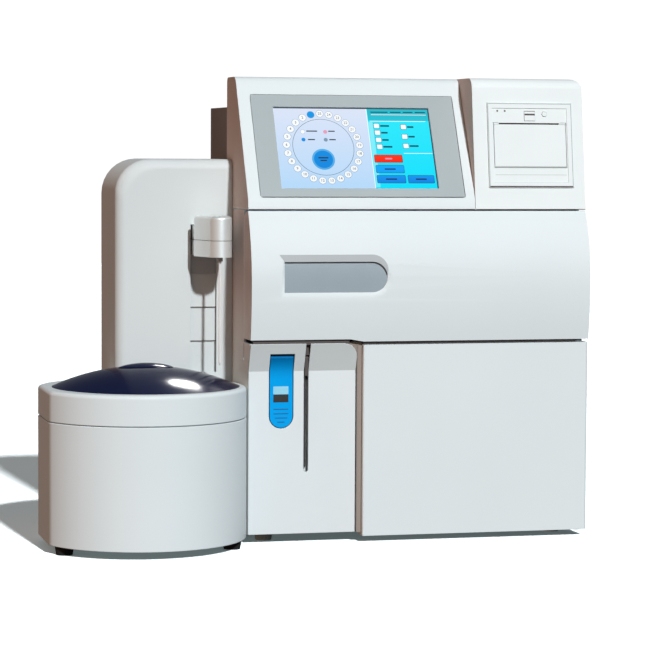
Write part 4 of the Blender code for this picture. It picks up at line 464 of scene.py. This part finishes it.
pieceLook = {
    "sharpDegrees": 32, "evenWeight": 90, "cornerSteps": 4, "discSteps": 40, "roundProfile": 0.5,
    # a softened copy's steps round each edge, and the degrees above which an edge is rounded
    "softSteps": 3, "softDegrees": 40,
    # how near a copied node's points are merged, and how level its faces have to be to become one
    "mergeMm": 0.002, "flatDegrees": 0.6,
    # a numeral's curve steps, and the share of its height within which its points are merged
    "numberSteps": 2, "numberMerge": 0.002,
}
# corner radii of the thin inlays, in millimetres
rounding = {"hair": 0.1, "thin": 0.2, "strip": 0.3, "label": 0.4, "tile": 0.5, "glow": 0.6, "key": 1.0, "keyRim": 1.2}


def addPiece(name, shape, body, material, replaced=(), sharp=None, place=None, even=False):
    if place:
        bmesh.ops.transform(shape, matrix=place, verts=shape.verts)
    mesh = bpy.data.meshes.new(name)
    bmesh.ops.recalc_face_normals(shape, faces=shape.faces)
    shape.to_mesh(mesh)
    shape.free()
    mesh.shade_smooth()
    mesh.set_sharp_from_angle(angle=math.radians(sharp or pieceLook["sharpDegrees"]))
    mesh.materials.append(material)
    made = bpy.data.objects.new(name, mesh)
    sceneItems.link(made)
    if even:
        # flat faces stay flat to the eye right up to their rounded edges
        finish = made.modifiers.new("evenNormals", "WEIGHTED_NORMAL")
        finish.keep_sharp = True
        finish.weight = pieceLook["evenWeight"]
    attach(made, body)
    if replaced:
        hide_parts(*replaced)
    return made


def copyOf(node):
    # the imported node's own form, with its loose triangles merged and its flat faces made whole
    shape = bmesh.new()
    shape.from_mesh(frame["nodes"][node].data)
    bmesh.ops.remove_doubles(shape, verts=shape.verts, dist=pieceLook["mergeMm"] * mm)
    flat = math.radians(pieceLook["flatDegrees"])
    bmesh.ops.dissolve_limit(shape, angle_limit=flat, verts=shape.verts, edges=shape.edges)
    return shape


def rounded(shape, edges, radius, steps):
    bmesh.ops.bevel(
        shape, geom=edges, offset=radius, offset_type="OFFSET", segments=steps,
        profile=pieceLook["roundProfile"], affect="EDGES", material=-1, clamp_overlap=True,
    )


def softened(node, radiusMm):
    # rounds the sharp outer and inner edges of a copy as a moulding tool does
    shape = copyOf(node)
    above = math.radians(pieceLook["softDegrees"])
    edges = [e for e in shape.edges if len(e.link_faces) == 2 and e.calc_face_angle() > above]
    rounded(shape, edges, radiusMm * mm, pieceLook["softSteps"])
    return shape


def addPlate(shape, x, z, near, far, corner=0.0):
    # a thin slab in millimetres; corner rounds the four edges that run through it
    made = bmesh.ops.create_cube(shape, size=1.0)["verts"]
    bmesh.ops.scale(shape, vec=(x[1] - x[0], far - near, z[1] - z[0]), verts=made)
    bmesh.ops.translate(shape, vec=((x[0] + x[1]) / 2, (near + far) / 2, (z[0] + z[1]) / 2), verts=made)
    if corner:
        edges = {e for v in made for e in v.link_edges if abs(e.verts[0].co.y - e.verts[1].co.y) > (far - near) / 2}
        rounded(shape, list(edges), corner, pieceLook["cornerSteps"])


def addDisc(shape, x, z, radius, near, far):
    turned = Matrix.Translation((x, (near + far) / 2, z)) @ Matrix.Rotation(math.radians(90), 4, "X")
    bmesh.ops.create_cone(
        shape, cap_ends=True, segments=pieceLook["discSteps"], radius1=radius, radius2=radius, depth=far - near,
        matrix=turned,
    )


def addNumber(shape, words, x, z, height, near, far):
    # a raised numeral: the letter curve becomes a mesh before it is turned into place
    curve = bpy.data.curves.new("number", "FONT")
    curve.body = words
    curve.size = height
    curve.align_x = "CENTER"
    curve.align_y = "CENTER"
    curve.resolution_u = pieceLook["numberSteps"]
    holder = bpy.data.objects.new("number", curve)
    sceneItems.link(holder)
    part = bmesh.new()
    part.from_mesh(holder.to_mesh())
    holder.to_mesh_clear()
    bpy.data.objects.remove(holder)
    bmesh.ops.remove_doubles(part, verts=part.verts, dist=height * pieceLook["numberMerge"])
    grown = bmesh.ops.extrude_face_region(part, geom=part.faces[:], use_keep_orig=True)["geom"]
    bmesh.ops.translate(part, vec=(0, 0, far - near), verts=[v for v in grown if isinstance(v, bmesh.types.BMVert)])
    turned = Matrix.Translation((x, far, z)) @ Matrix.Rotation(math.radians(90), 4, "X")
    bmesh.ops.transform(part, matrix=turned, verts=part.verts)
    whole = bpy.data.meshes.new("number")
    part.to_mesh(whole)
    part.free()
    shape.from_mesh(whole)
    bpy.data.meshes.remove(whole)


def plates(entries, near, far, corner=0.0):
    shape = bmesh.new()
    for entry in entries:
        addPlate(shape, entry[0:2], entry[2:4], near, far, corner)
    return shape


def discs(entries, near, far):
    shape = bmesh.new()
    for entry in entries:
        addDisc(shape, *entry, near, far)
    return shape


def around(middle, radius, steps, first=0.0):
    # evenly spaced places on a circle, from first degrees on
    angles = [math.radians(first + 360 * step / steps) for step in range(steps)]
    return [(middle[0] + radius * math.cos(a), middle[1] + radius * math.sin(a)) for a in angles]


def boxAround(place, halfWidth, halfHeight):
    return place[0] - halfWidth, place[0] + halfWidth, place[1] - halfHeight, place[1] + halfHeight


# the fold from which both heads lean back, and by how many degrees
headLook = {"fold": (0, 14.0, 319.5), "displayLean": 27.4, "printerLean": 7.9}


def leaning(degrees):
    # from millimetres across, into and up a head's leaning face to the scene
    origin = at(*headLook["fold"])
    return Matrix.Translation(origin) @ Matrix.Rotation(math.radians(-degrees), 4, "X") @ Matrix.Scale(mm, 4)


upright = Matrix.Translation(at(0, 0, 0)) @ Matrix.Scale(mm, 4)
displayFace = leaning(headLook["displayLean"])
printerFace = leaning(headLook["printerLean"])
bodyOf = {node: body for body, nodes in frame["record"]["behaviour"]["bodies"].items() for node in nodes}

print("mouldings")
# each node's own piece: its name, the radius of its edges in millimetres, and its material
mouldings = {
    "left_side_panel": ("leftSideWall", 0.6, housingAbs), "right_side_panel": ("rightSideWall", 0.6, housingAbs),
    "bay_panel": ("bayFront", 0.4, bayAbs), "middle_door": ("chamberDoorShell", 0.5, housingAbs),
    "reagent_door": ("packDoorShell", 0.6, housingAbs), "display_head": ("displayCover", 0.4, housingAbs),
    "printer_head": ("printerCover", 0.4, printerPc), "display_bezel": ("screenTrim", 0.3, trimAbs),
    "printer_fascia": ("printerFrame", 0.25, printerPc), "printer_door": ("paperDoor", 0.25, printerPc),
    "printer_latch": ("paperLatch", 0.3, printerPc), "feed_button": ("feedKey", 0.3, printerPc),
    "column_shell": ("liftColumn", 0.5, columnAbsAndShade), "tub_shell": ("tubWall", 0.8, housingAbs),
    "tub_ring": ("tubRim", 0.5, housingAbs), "lid_dome": ("lidShell", 0.3, smokedAcrylic),
    "lid_grip": ("lidHandle", 0.2, smokedAcrylic), "arm_lower": ("armBase", 0.4, silverLacquer),
    "arm_upper": ("armCover", 0.2, silverLacquer), "sample_lever": ("leverPaddle", 0.4, leverAbsAndShade),
    "rear_cover": ("rearBox", 0.6, darkCoat), "power_inlet": ("mainsInlet", 0.3, blackNylon),
    "power_switch": ("mainsRocker", 0.4, blackNylon), "door_window": ("doorPane", 0.2, windowPc),
    "reagent_pack": ("packCarton", 0.8, cardStock), "pump_housing": ("pumpBlock", 0.8, darkCoat),
    "electrode_manifold": ("cellCarrier", 0.8, trimAbs),
}
mouldingLook = {
    # the degrees above which an edge stays crisp, where a form has shallow folds
    "crisp": {"middle_door": 24, "bay_panel": 14, "display_head": 22, "column_shell": 22},
    # the nodes whose left-facing faces take the painted side shade, and how far a face of them has to turn to the left
    "sideShaded": ("left_side_panel", "display_head", "printer_head", "middle_door", "reagent_door"), "leftTurn": -0.8,
    "leanDown": -0.2, "leanForward": -0.5, "skirtTop": 262.8,
}
skirtTop = at(0, 0, mouldingLook["skirtTop"])[2]
# each node's painted shade material, and which of its faces take it
shadeFinish = {
    node: (sideShadeAbs, lambda face: face.normal.x < mouldingLook["leftTurn"]) for node in mouldingLook["sideShaded"]
}
# painted shade: the bay's leaning upper part faces down under the door, so it takes the greyer column ABS
shadeFinish["bay_panel"] = (columnAbsAndShade, lambda face: (
    face.normal.z < mouldingLook["leanDown"] and face.normal.y < mouldingLook["leanForward"]
))
# painted shade: the skirt behind the arm's nose lies in the arm's shadow, so it takes the mid grey ABS
shadeFinish["arm_lower"] = (shadeGreyAbs, lambda face: face.center[2] < skirtTop)
for node, (name, radius, material) in mouldings.items():
    sharp = mouldingLook["crisp"].get(node)
    made = addPiece(name, softened(node, radius), bodyOf[node], material, (node,), sharp, even=True)
    if node in shadeFinish:
        other, chosen = shadeFinish[node]
        made.data.materials.append(other)
        for face in made.data.polygons:
            face.material_index = int(chosen(face))
    if material is smokedAcrylic:
        lidOnly.objects.link(made)

print("carried nodes")
# the nodes that are shown as packed, by material
carried = {
    columnAbsAndShade: ("shutter_low", "shutter_middle", "shutter_high"),
    sheetSteel: ("base_plate", "bulkhead", "middle_shelf", "lever_bearings", "door_hinge_rod", "lift_frame"),
    # painted shade: the needle's arm, seen through the slot, takes the dark seam plastic
    seamShade: ("needle_arm",),
    drawnSteel: ("reagent_hinge_pin", "stat_needle", "lead_screw"), satinSteel: ("sample_probe",),
    blackNylon: ("paper_bucket", "turn_motor", "lift_motor", "carriage"),
    trayAbs: ("tray_floor", "tray_hub", "tray_rim"),
    printerPc: ("pump_rotor",), cardStock: ("paper_roll",), cellPlastic: ("electrode_stack",),
    footRubber: ("platen_roller", "tub_foot_left", "tub_foot_right"),
    paleRubber: ("foot_front_left", "foot_front_right", "foot_rear_left", "foot_rear_right"),
}
for material, nodes in carried.items():
    for node in nodes:
        mesh = frame["nodes"][node].data
        mesh.materials.clear()
        mesh.materials.append(material)

print("screen")
screenLook = {
    "surface": 0.4, "layer": 0.03, "backShare": 0.2, "left": 33.8, "right": 187.9, "base": 10.6, "top": 97.2,
}
# the display's own colours, sky blue, cyan and the inks of its marks: the tone at the top and at the bottom,
# the heights between which one runs over to the other, and the strength of the light
screenTones = {
    "screenBase": ("#dfe8fb", "#b6dcfd", 327, 406, 0.97), "screenWhite": ("#fbfeff", "#f4f9fd", 320, 400, 1.0),
    "screenOutline": ("#8da5bb", "#7496b4", 320, 400, 0.9), "screenRing": ("#6d8798", "#5d7f98", 320, 400, 0.8),
    "screenHeader": ("#2fc3d4", "#19d3ea", 388, 402, 0.9), "screenCyan": ("#2cecff", "#00e2ff", 330, 400, 0.97),
    "screenCyanPale": ("#8ff4ff", "#6feeff", 330, 400, 0.97), "screenBlue": ("#12a0f4", "#0684e4", 325, 405, 0.9),
    "screenKey": ("#08a8fa", "#0670d8", 330, 348, 1.0), "screenHalo": ("#63bdf5", "#4fb0f0", 340, 375, 0.9),
    "screenOrange": ("#ff3a10", "#f41c00", 352, 362, 1.0), "screenPink": ("#f7a9c4", "#f19ab8", 370, 390, 0.9),
    "screenInk": ("#1d6f86", "#1a5f7c", 330, 400, 0.6), "screenNumber": ("#3c4c5c", "#33424f", 330, 400, 0.6),
    "screenShadow": ("#4a5f6a", "#40545f", 330, 410, 0.4), "screenDeep": ("#1b4f9a", "#123f86", 330, 348, 0.8),
}
inks = {name: lit(name, *tones) for name, tones in screenTones.items()}
frame["nodes"]["touch_screen"].data.materials.clear()
frame["nodes"]["touch_screen"].data.materials.append(inks["screenBase"])


def addScreen(name, shape, ink):
    return addPiece(name, shape, bodyOf["touch_screen"], inks[ink], place=displayFace)


def layer(number):
    # each printed layer of the display stands a hair nearer than the last, and all start from the same depth
    surface, thick = screenLook["surface"], screenLook["layer"]
    return surface - thick * (number + 1), surface - thick * screenLook["backShare"]


dialLook = {
    "at": (78.9, 54.6), "radius": 36.0, "places": 25, "firstAt": 104.4, "disc": 3.45, "discRim": 0.35,
    "numberSize": 3.9, "tray": 29.8, "trayRim": 0.45, "start": (77.6, 41.5), "startHalo": 11.2, "startKey": 9.3,
    "dot": 2.0, "dotRim": 2.25,
    "white": (60.3, 71.0), "pink": (82.4, 71.0), "blue": (60.15, 62.5), "grey": (82.05, 62.5),
    "labels": [
        (63.8, 74.6, 71.1, 72.3), (85.4, 91.9, 71.1, 72.3), (64.5, 71.5, 62.0, 63.2), (85.5, 92.0, 62.0, 63.2),
        (72.6, 82.6, 42.4, 43.8), (74.4, 80.8, 39.6, 40.9),
    ],
}
spots = around(dialLook["at"], dialLook["radius"], dialLook["places"], dialLook["firstAt"])
dot = dialLook["dot"]
rimmed = [(*spot, dialLook["disc"] + dialLook["discRim"]) for spot in spots]
addScreen("placeOutlines", discs(rimmed, *layer(1)), "screenOutline")
addScreen("placeDiscs", discs([(*spot, dialLook["disc"]) for spot in spots[1:]], *layer(2)), "screenWhite")
addScreen("presentPlace", discs([(*spots[0], dialLook["disc"]), (*dialLook["blue"], dot)], *layer(2)), "screenBlue")
numberShape = bmesh.new()
for number, spot in enumerate(spots[1:], start=2):
    addNumber(numberShape, str(number), *spot, dialLook["numberSize"], *layer(3))
addScreen("placeNumbers", numberShape, "screenNumber")
addScreen("trayCircle", discs([(*dialLook["at"], dialLook["tray"] + dialLook["trayRim"])], *layer(1)), "screenRing")
addScreen("legendRing", discs([(*dialLook["white"], dialLook["dotRim"])], *layer(2)), "screenOutline")
addScreen("trayMiddle", discs([(*dialLook["at"], dialLook["tray"])], *layer(2)), "screenBase")
for name, place, ink in (
    ("legendDots", "white", "screenWhite"), ("legendPink", "pink", "screenPink"), ("legendBlue", "blue", "screenBlue"),
    ("legendGrey", "grey", "screenOutline"),
):
    addScreen(name, discs([(*dialLook[place], dot)], *layer(3)), ink)
addScreen("startHalo", discs([(*dialLook["start"], dialLook["startHalo"])], *layer(3)), "screenHalo")
addScreen("startKey", discs([(*dialLook["start"], dialLook["startKey"])], *layer(4)), "screenBlue")
addScreen("dialLabels", plates(dialLook["labels"], *layer(5), rounding["label"]), "screenNumber")

panelLook = {
    "left": 125.5, "glow": (126.4, 130.5, 12.0, 82.0), "header": (126.4, 186.8, 83.6, 96.2),
    "lines": [
        (129.9, 185.0, 89.8, 90.3), (128.0, 183.6, 82.8, 83.3), (157.9, 186.4, 48.1, 48.6), (125.2, 125.9, 10.9, 96.8),
    ],
    "boxes": [
        (134.0, 77.9), (134.25, 70.5), (134.4, 62.7), (134.65, 55.3), (160.8, 76.9), (160.9, 66.4), (161.0, 56.3),
    ],
    "boxEdge": (3.0, 2.8), "boxFace": (2.6, 2.4), "markGap": 3.6, "markLong": 9.0, "markShort": 6.5, "markHalf": 0.9,
    "headerMarks": [
        (129.5, 147.0, 92.2, 93.4), (149.0, 160.0, 92.2, 93.4), (162.0, 172.0, 92.2, 93.4), (174.0, 184.5, 92.2, 93.4),
    ],
    "keys": [(128.5, 155.9, 27.4, 35.2), (128.3, 156.2, 16.6, 24.5), (159.1, 184.6, 16.6, 24.5)], "keyRim": 0.4,
    "keyMark": (5.5, 0.8), "stopKey": (128.2, 155.6, 38.6, 46.4), "stopMark": (138.5, 145.5, 41.7, 43.3),
    "shadeBase": 96.1, "shadeLeft": 186.9, "shadeFoot": 10.8, "shadeTop": 96.0,
}
panelPlate = (panelLook["left"], screenLook["right"], screenLook["base"], screenLook["top"])
addScreen("sidePanel", plates([panelPlate], *layer(1), rounding["thin"]), "screenCyan")
addScreen("sidePanelGlow", plates([panelLook["glow"]], *layer(2), rounding["glow"]), "screenCyanPale")
addScreen("panelHeader", plates([panelLook["header"]], *layer(2), rounding["strip"]), "screenHeader")
addScreen("panelLines", plates(panelLook["lines"], *layer(3), rounding["hair"]), "screenWhite")
boxEdges = [boxAround(place, *panelLook["boxEdge"]) for place in panelLook["boxes"]]
boxFaces = [boxAround(place, *panelLook["boxFace"]) for place in panelLook["boxes"]]
addScreen("choiceEdges", plates(boxEdges, *layer(3), rounding["tile"]), "screenInk")
addScreen("choiceBoxes", plates(boxFaces, *layer(4), rounding["label"]), "screenWhite")
marks = []
for number, (x, z) in enumerate(panelLook["boxes"]):
    first, length = x + panelLook["markGap"], panelLook["markShort"] if number % 3 else panelLook["markLong"]
    marks.append((first, first + length, z - panelLook["markHalf"], z + panelLook["markHalf"]))
addScreen("panelLabels", plates(marks + panelLook["headerMarks"], *layer(3), rounding["tile"]), "screenInk")
keys, rim = panelLook["keys"], panelLook["keyRim"]
keyEdges = [(a - rim, b + rim, c - rim, d + rim) for a, b, c, d in [*keys, panelLook["stopKey"]]]
addScreen("keyEdges", plates(keyEdges, *layer(3), rounding["keyRim"]), "screenShadow")
addScreen("panelKeys", plates(keys, *layer(4), rounding["key"]), "screenKey")
addScreen("stopKey", plates([panelLook["stopKey"]], *layer(4), rounding["key"]), "screenOrange")
addScreen("stopLabel", plates([panelLook["stopMark"]], *layer(5), rounding["tile"]), "screenPink")
keyMarks = [boxAround(((a + b) / 2, (c + d) / 2), *panelLook["keyMark"]) for a, b, c, d in keys]
addScreen("keyLabels", plates(keyMarks, *layer(5), rounding["tile"]), "screenDeep")
# the recess throws a thin shade along the screen's upper and right edges
shades = [
    (screenLook["left"], screenLook["right"], panelLook["shadeBase"], screenLook["top"]),
    (panelLook["shadeLeft"], screenLook["right"], panelLook["shadeFoot"], panelLook["shadeTop"]),
]
addScreen("recessShade", plates(shades, *layer(6), rounding["hair"]), "screenShadow")

print("screen trim")
trimLook = {
    "cornerLeft": (12.45, 208.45), "cornerBase": (1.05, 105.65), "cornerWidth": 5.0, "cornerDepth": (-0.43, -0.05),
    "lines": [(12.8, 213.2, 110.35, 110.65), (213.0, 213.4, 1.4, 110.3), (14.0, 213.2, 1.1, 1.4)],
    "lineDepth": (-0.47, -0.1),
}


def addTrim(name, shape, material):
    return addPiece(name, shape, bodyOf["display_bezel"], material, place=displayFace)


# the trim's corners run out nearly square
width = trimLook["cornerWidth"]
corners = [(x, x + width, z, z + width) for x in trimLook["cornerLeft"] for z in trimLook["cornerBase"]]
addTrim("trimCorners", plates(corners, *trimLook["cornerDepth"], rounding["tile"]), trimAbs)
# painted shade: thin dark lines along the trim's edges
addTrim("trimShadeLines", plates(trimLook["lines"], *trimLook["lineDepth"], rounding["hair"]), seamShade)

print("printer details")
printerLook = {
    "frameFace": -1.2, "panelFace": -0.4, "proud": 0.06, "sunk": 0.1,
    "frameLines": [(237.9, 322.7, 91.6, 92.2), (237.9, 238.5, 10.9, 91.4), (322.1, 322.7, 10.9, 91.4)],
    "frameFootShadow": [(238.2, 322.4, 10.6, 12.0)],
    "panelEdges": [
        (241.9, 242.25, 15.4, 88.6), (317.9, 318.25, 15.4, 88.6), (242.3, 317.8, 88.3, 88.65),
        (242.3, 317.8, 15.2, 15.55), (244.2, 316.4, 22.7, 23.0),
    ],
    "stripLines": [(242.9, 248.6, 73.3, 73.9), (310.6, 317.3, 73.3, 73.9)],
    "slotEnds": [(243.95, 249.0, 72.15, 73.3), (310.1, 316.65, 72.15, 73.3)], "slotEndSunk": 0.5,
    "paperSlot": [(249.1, 310.0, 72.9, 74.4)], "paperSlotDepth": (-0.35, 0.3),
    "hingeLine": [(243.9, 317.4, 29.6, 30.2)],
    "doorSeams": [(243.9, 244.15, 30.2, 72.1), (316.45, 316.7, 30.2, 72.1)], "seamSunk": 0.6,
    "latchRecessShade": [(275.2, 285.6, 80.6, 82.3), (275.2, 285.6, 84.4, 84.9)],
    "lamps": [(247.9, 84.9, 0.9), (255.4, 84.9, 0.9)],
}
panelFace = printerLook["panelFace"]
onFrame = (printerLook["frameFace"] - printerLook["proud"], printerLook["frameFace"] + printerLook["sunk"])
onPanel = (panelFace - printerLook["proud"], panelFace + printerLook["sunk"])


def addPrinter(name, shape, material, node="printer_fascia"):
    return addPiece(name, shape, bodyOf[node], material, place=printerFace)


addPrinter("frameLines", plates(printerLook["frameLines"], *onFrame, rounding["hair"]), lineGrey)
# painted shadow: a dark strip under the frame's lower edge
addPrinter("frameFootShadow", plates(printerLook["frameFootShadow"], *onFrame, rounding["strip"]), seamShade)
addPrinter("panelEdges", plates(printerLook["panelEdges"], *onPanel, rounding["hair"]), lineGrey)
addPrinter("stripLines", plates(printerLook["stripLines"], *onPanel, rounding["hair"]), lineGrey)
slotEnds = plates(printerLook["slotEnds"], panelFace, printerLook["slotEndSunk"], rounding["hair"])
addPrinter("slotEnds", slotEnds, printerPc)
paperSlot = plates(printerLook["paperSlot"], *printerLook["paperSlotDepth"], rounding["label"])
addPrinter("paperSlotShade", paperSlot, seamShade)
addPrinter("doorHingeLine", plates(printerLook["hingeLine"], *onPanel, rounding["hair"]), lineGrey)
addPrinter("doorSeams", plates(printerLook["doorSeams"], panelFace, printerLook["seamSunk"]), printerPc)
# painted shade: dark bars stand in for the shade of the latch's finger recess and of a line above it
addPrinter("latchRecessShade", plates(printerLook["latchRecessShade"], *onFrame, rounding["thin"]), seamShade, "printer_latch")
addPrinter("statusLamps", discs(printerLook["lamps"], *onPanel), seamShade)

print("lever details")
leverLook = {
    "face": 10.3, "proud": 0.10, "sunk": 0.3,
    "paleMark": (24.2, 38.9, 134.3, 141.8), "darkMark": (24.2, 38.9, 126.6, 134.1),
    "ribs": [
        (24.3, 38.9, 119.6, 120.5), (24.3, 38.9, 115.3, 116.2), (25.6, 38.0, 111.3, 112.2), (27.9, 35.4, 107.4, 108.3),
    ],
}
onLever = (leverLook["face"] - leverLook["proud"], leverLook["face"] + leverLook["sunk"])


def addLever(name, shape, material):
    return addPiece(name, shape, bodyOf["sample_lever"], material, place=upright)


addLever("leverPaleMark", plates([leverLook["paleMark"]], *onLever, rounding["tile"]), plateCyan)
addLever("leverDarkMark", plates([leverLook["darkMark"]], *onLever, rounding["tile"]), blackNylon)
# painted shade: deep blue strips stand in for the shade in the grip's grooves
addLever("leverGripShade", plates(leverLook["ribs"], *onLever, rounding["label"]), leverGrooveShade)

print("grooves and seams")
grooveLook = {
    "strip": [(104.8, 109.1, 1.4, 180.2)], "stripDepth": (5.5, 9.0),
    "corner": [(88.0, 109.1, 180.3, 183.6), (88.0, 104.7, 168.0, 180.2)], "cornerDepth": (6.6, 7.4),
    "bayTop": [(2.8, 96.2, 181.4, 185.8)], "bayTopDepth": (2.7, 3.7),
    "shelfSpan": (110.0, 322.0), "shelfFront": (181.5, 183.6), "shelfFrontDepth": (4.0, 6.0),
    "shelfWeb": (182.9, 183.6), "shelfWebDepth": (5.0, 34.0),
    "headEdge": (308.67, 309.4), "headEdgeDepth": (12.16, 12.7),
    "headSpans": {
        "display_head": ("displayEdgeLine", (0.4, 222.5)), "printer_head": ("printerEdgeLine", (223.6, 334.1)),
    },
}
# painted shade: strips set in the groove beside the bay, in its corner and along the bay's top stand in for the shade
# in them
for name, kind, node, material in (
    ("grooveStrip", "strip", "base_plate", grooveShadeGrey), ("grooveCorner", "corner", "base_plate", grooveShadeGrey),
    ("bayTopStrip", "bayTop", "bay_panel", seamShade),
):
    strip = plates(grooveLook[kind], *grooveLook[kind + "Depth"], rounding["strip"])
    addPiece(name, strip, bodyOf[node], material, place=upright)
# painted shade: a dark plate under the middle shelf fills the seam over the reagent door and stands in for its shade
shelfFront = (*grooveLook["shelfSpan"], *grooveLook["shelfFront"])
shelfSeamShade = plates([shelfFront], *grooveLook["shelfFrontDepth"], rounding["strip"])
addPlate(shelfSeamShade, grooveLook["shelfSpan"], grooveLook["shelfWeb"], *grooveLook["shelfWebDepth"], rounding["thin"])
addPiece("shelfSeamShade", shelfSeamShade, bodyOf["middle_shelf"], seamShade, place=upright)
# the shaded lower edge of the two heads, over the seam above the middle door
for node, (name, span) in grooveLook["headSpans"].items():
    edgeLine = plates([(*span, *grooveLook["headEdge"])], *grooveLook["headEdgeDepth"], rounding["hair"])
    addPiece(name, edgeLine, bodyOf[node], seamShade, place=upright)

print("window surround")
# painted shade over the window: a thin darker inlay that follows the door's own curve
windowShadeLook = {
    "left": (27.0, 31.9), "edge": (260.0, 266.7), "bend": 72.0, "middle": (117.0, 245.3), "radius": (14.7, 21.4),
    "tip": 0.3, "end": 12.0, "steps": 12, "thick": 1.2,
    # the door's front in depth: its place at one height, its slope there and its curve
    "level": 245, "front": -4.55, "slope": 0.0557, "curve": 0.00358,
}
windowShadeShape = bmesh.new()
inner, outer = windowShadeLook["radius"]
outerPath = [(windowShadeLook["left"][0], windowShadeLook["edge"][1]), (windowShadeLook["bend"], windowShadeLook["edge"][1])]
innerPath = [(windowShadeLook["left"][1], windowShadeLook["edge"][0]), (windowShadeLook["bend"], windowShadeLook["edge"][0])]
for step in range(windowShadeLook["steps"] + 1):
    # the outer edge closes in on the inner one as both turn round the window's end
    share = step / windowShadeLook["steps"]
    angle = math.radians(90 + (windowShadeLook["end"] - 90) * share)
    for path, radius in ((outerPath, outer + (inner + windowShadeLook["tip"] - outer) * share ** 2), (innerPath, inner)):
        path.append((windowShadeLook["middle"][0] + radius * math.cos(angle), windowShadeLook["middle"][1] + radius * math.sin(angle)))
windowShadeFace = windowShadeShape.faces.new([windowShadeShape.verts.new((x, 0, z)) for x, z in outerPath + innerPath[::-1]])
bmesh.ops.triangulate(windowShadeShape, faces=[windowShadeFace])
grown = bmesh.ops.extrude_face_region(windowShadeShape, geom=windowShadeShape.faces[:], use_keep_orig=True)["geom"]
windowShadeBack = [v for v in grown if isinstance(v, bmesh.types.BMVert)]
bmesh.ops.translate(windowShadeShape, vec=(0, windowShadeLook["thick"], 0), verts=windowShadeBack)
for vertex in windowShadeShape.verts:
    rise = vertex.co.z - windowShadeLook["level"]
    vertex.co.y += windowShadeLook["front"] + windowShadeLook["slope"] * rise + windowShadeLook["curve"] * rise * rise
addPiece("windowShade", windowShadeShape, bodyOf["middle_door"], shadeGreyAbs, place=upright)

print("needle slot")
slotLook = {
    "liner": [(50.0, 62.0, 57.5, 147.0)], "linerDepth": (18.2, 18.8),
    "topLiner": [(51.5, 60.8, 171.4, 181.6)], "topLinerDepth": (7.4, 8.0),
}
# painted shade: a pale liner stands behind the needle and closes the view, so that the slot reads dark grey, not black
liner = plates(slotLook["liner"], *slotLook["linerDepth"], rounding["tile"])
addPiece("slotShadeLiner", liner, bodyOf["bay_panel"], columnAbsAndShade, place=upright)
# painted shade: a dark liner on the lever's bearings fills the slot's top
topLiner = plates(slotLook["topLiner"], *slotLook["topLinerDepth"], rounding["strip"])
addPiece("slotTopShade", topLiner, bodyOf["lever_bearings"], seamShade, place=upright)

print("arm details")
armLook = {
    "nose": (-22.6, 34.0), "radius": 11.2, "steps": 48, "corner": (-42.1, 63.0), "right": -11.4, "back": 90.0,
    "proud": 0.04, "seam": (278.72, 279.18),
}


def hullSlab(places, low, high):
    # a thin slab whose outline wraps round the given places
    shape = bmesh.new()
    for x, y in places:
        for z in (low, high):
            shape.verts.new((x, y, z))
    made = bmesh.ops.convex_hull(shape, input=shape.verts)
    loose = [v for v in made["geom_interior"] if isinstance(v, bmesh.types.BMVert)]
    bmesh.ops.delete(shape, geom=loose, context="VERTS")
    return shape


proud = armLook["proud"]
armOutline = around(armLook["nose"], armLook["radius"] + proud, armLook["steps"])
armOutline += [(armLook["corner"][0] - proud, y) for y in (armLook["corner"][1], armLook["back"])]
armOutline.append((armLook["right"] + proud, armLook["back"]))
# painted shade: a dark slab in the seam between the arm's two covers
addPiece("armSeamShade", hullSlab(armOutline, *armLook["seam"]), bodyOf["arm_upper"], seamShade, place=upright)

print("column details")
slatLook = {
    "across": (-42.8, -14.4), "proud": 0.05, "sunk": 0.3,
    # painted shade along the slats' lower edges: each line's name, its heights, and the front of its slat
    "edges": {
        "shutter_high": ("highSlatShade", (212.6, 213.3), 88.0),
        "shutter_middle": ("middleSlatShade", (179.8, 180.5), 89.3),
    },
}
for node, (name, heights, front) in slatLook["edges"].items():
    onSlat = (front - slatLook["proud"], front + slatLook["sunk"])
    slatEdge = plates([(*slatLook["across"], *heights)], *onSlat, rounding["hair"])
    addPiece(name, slatEdge, bodyOf[node], seamShade, place=upright)

print("wall details")
# painted reflection of the sample probe on the left wall: a thin dark line with a small bright steel dot at its lower
# end
wallLook = {"line": (-31.3, -30.4, 168.5, 181.6), "probeGlint": (-30.4, 166.9, 1.5), "proud": 0.12, "sunk": 0.3}
onWall = (-wallLook["proud"], wallLook["sunk"])
wallTurn = Matrix.Translation(at(0, 0, 0)) @ Matrix.Rotation(math.radians(-90), 4, "Z") @ Matrix.Scale(mm, 4)
leftWall = bodyOf["left_side_panel"]
wallProbeReflection = plates([wallLook["line"]], *onWall, rounding["thin"])
addPiece("wallProbeReflection", wallProbeReflection, leftWall, seamShade, place=wallTurn)
addPiece("wallProbeGlint", discs([wallLook["probeGlint"]], *onWall), leftWall, drawnSteel, place=wallTurn)
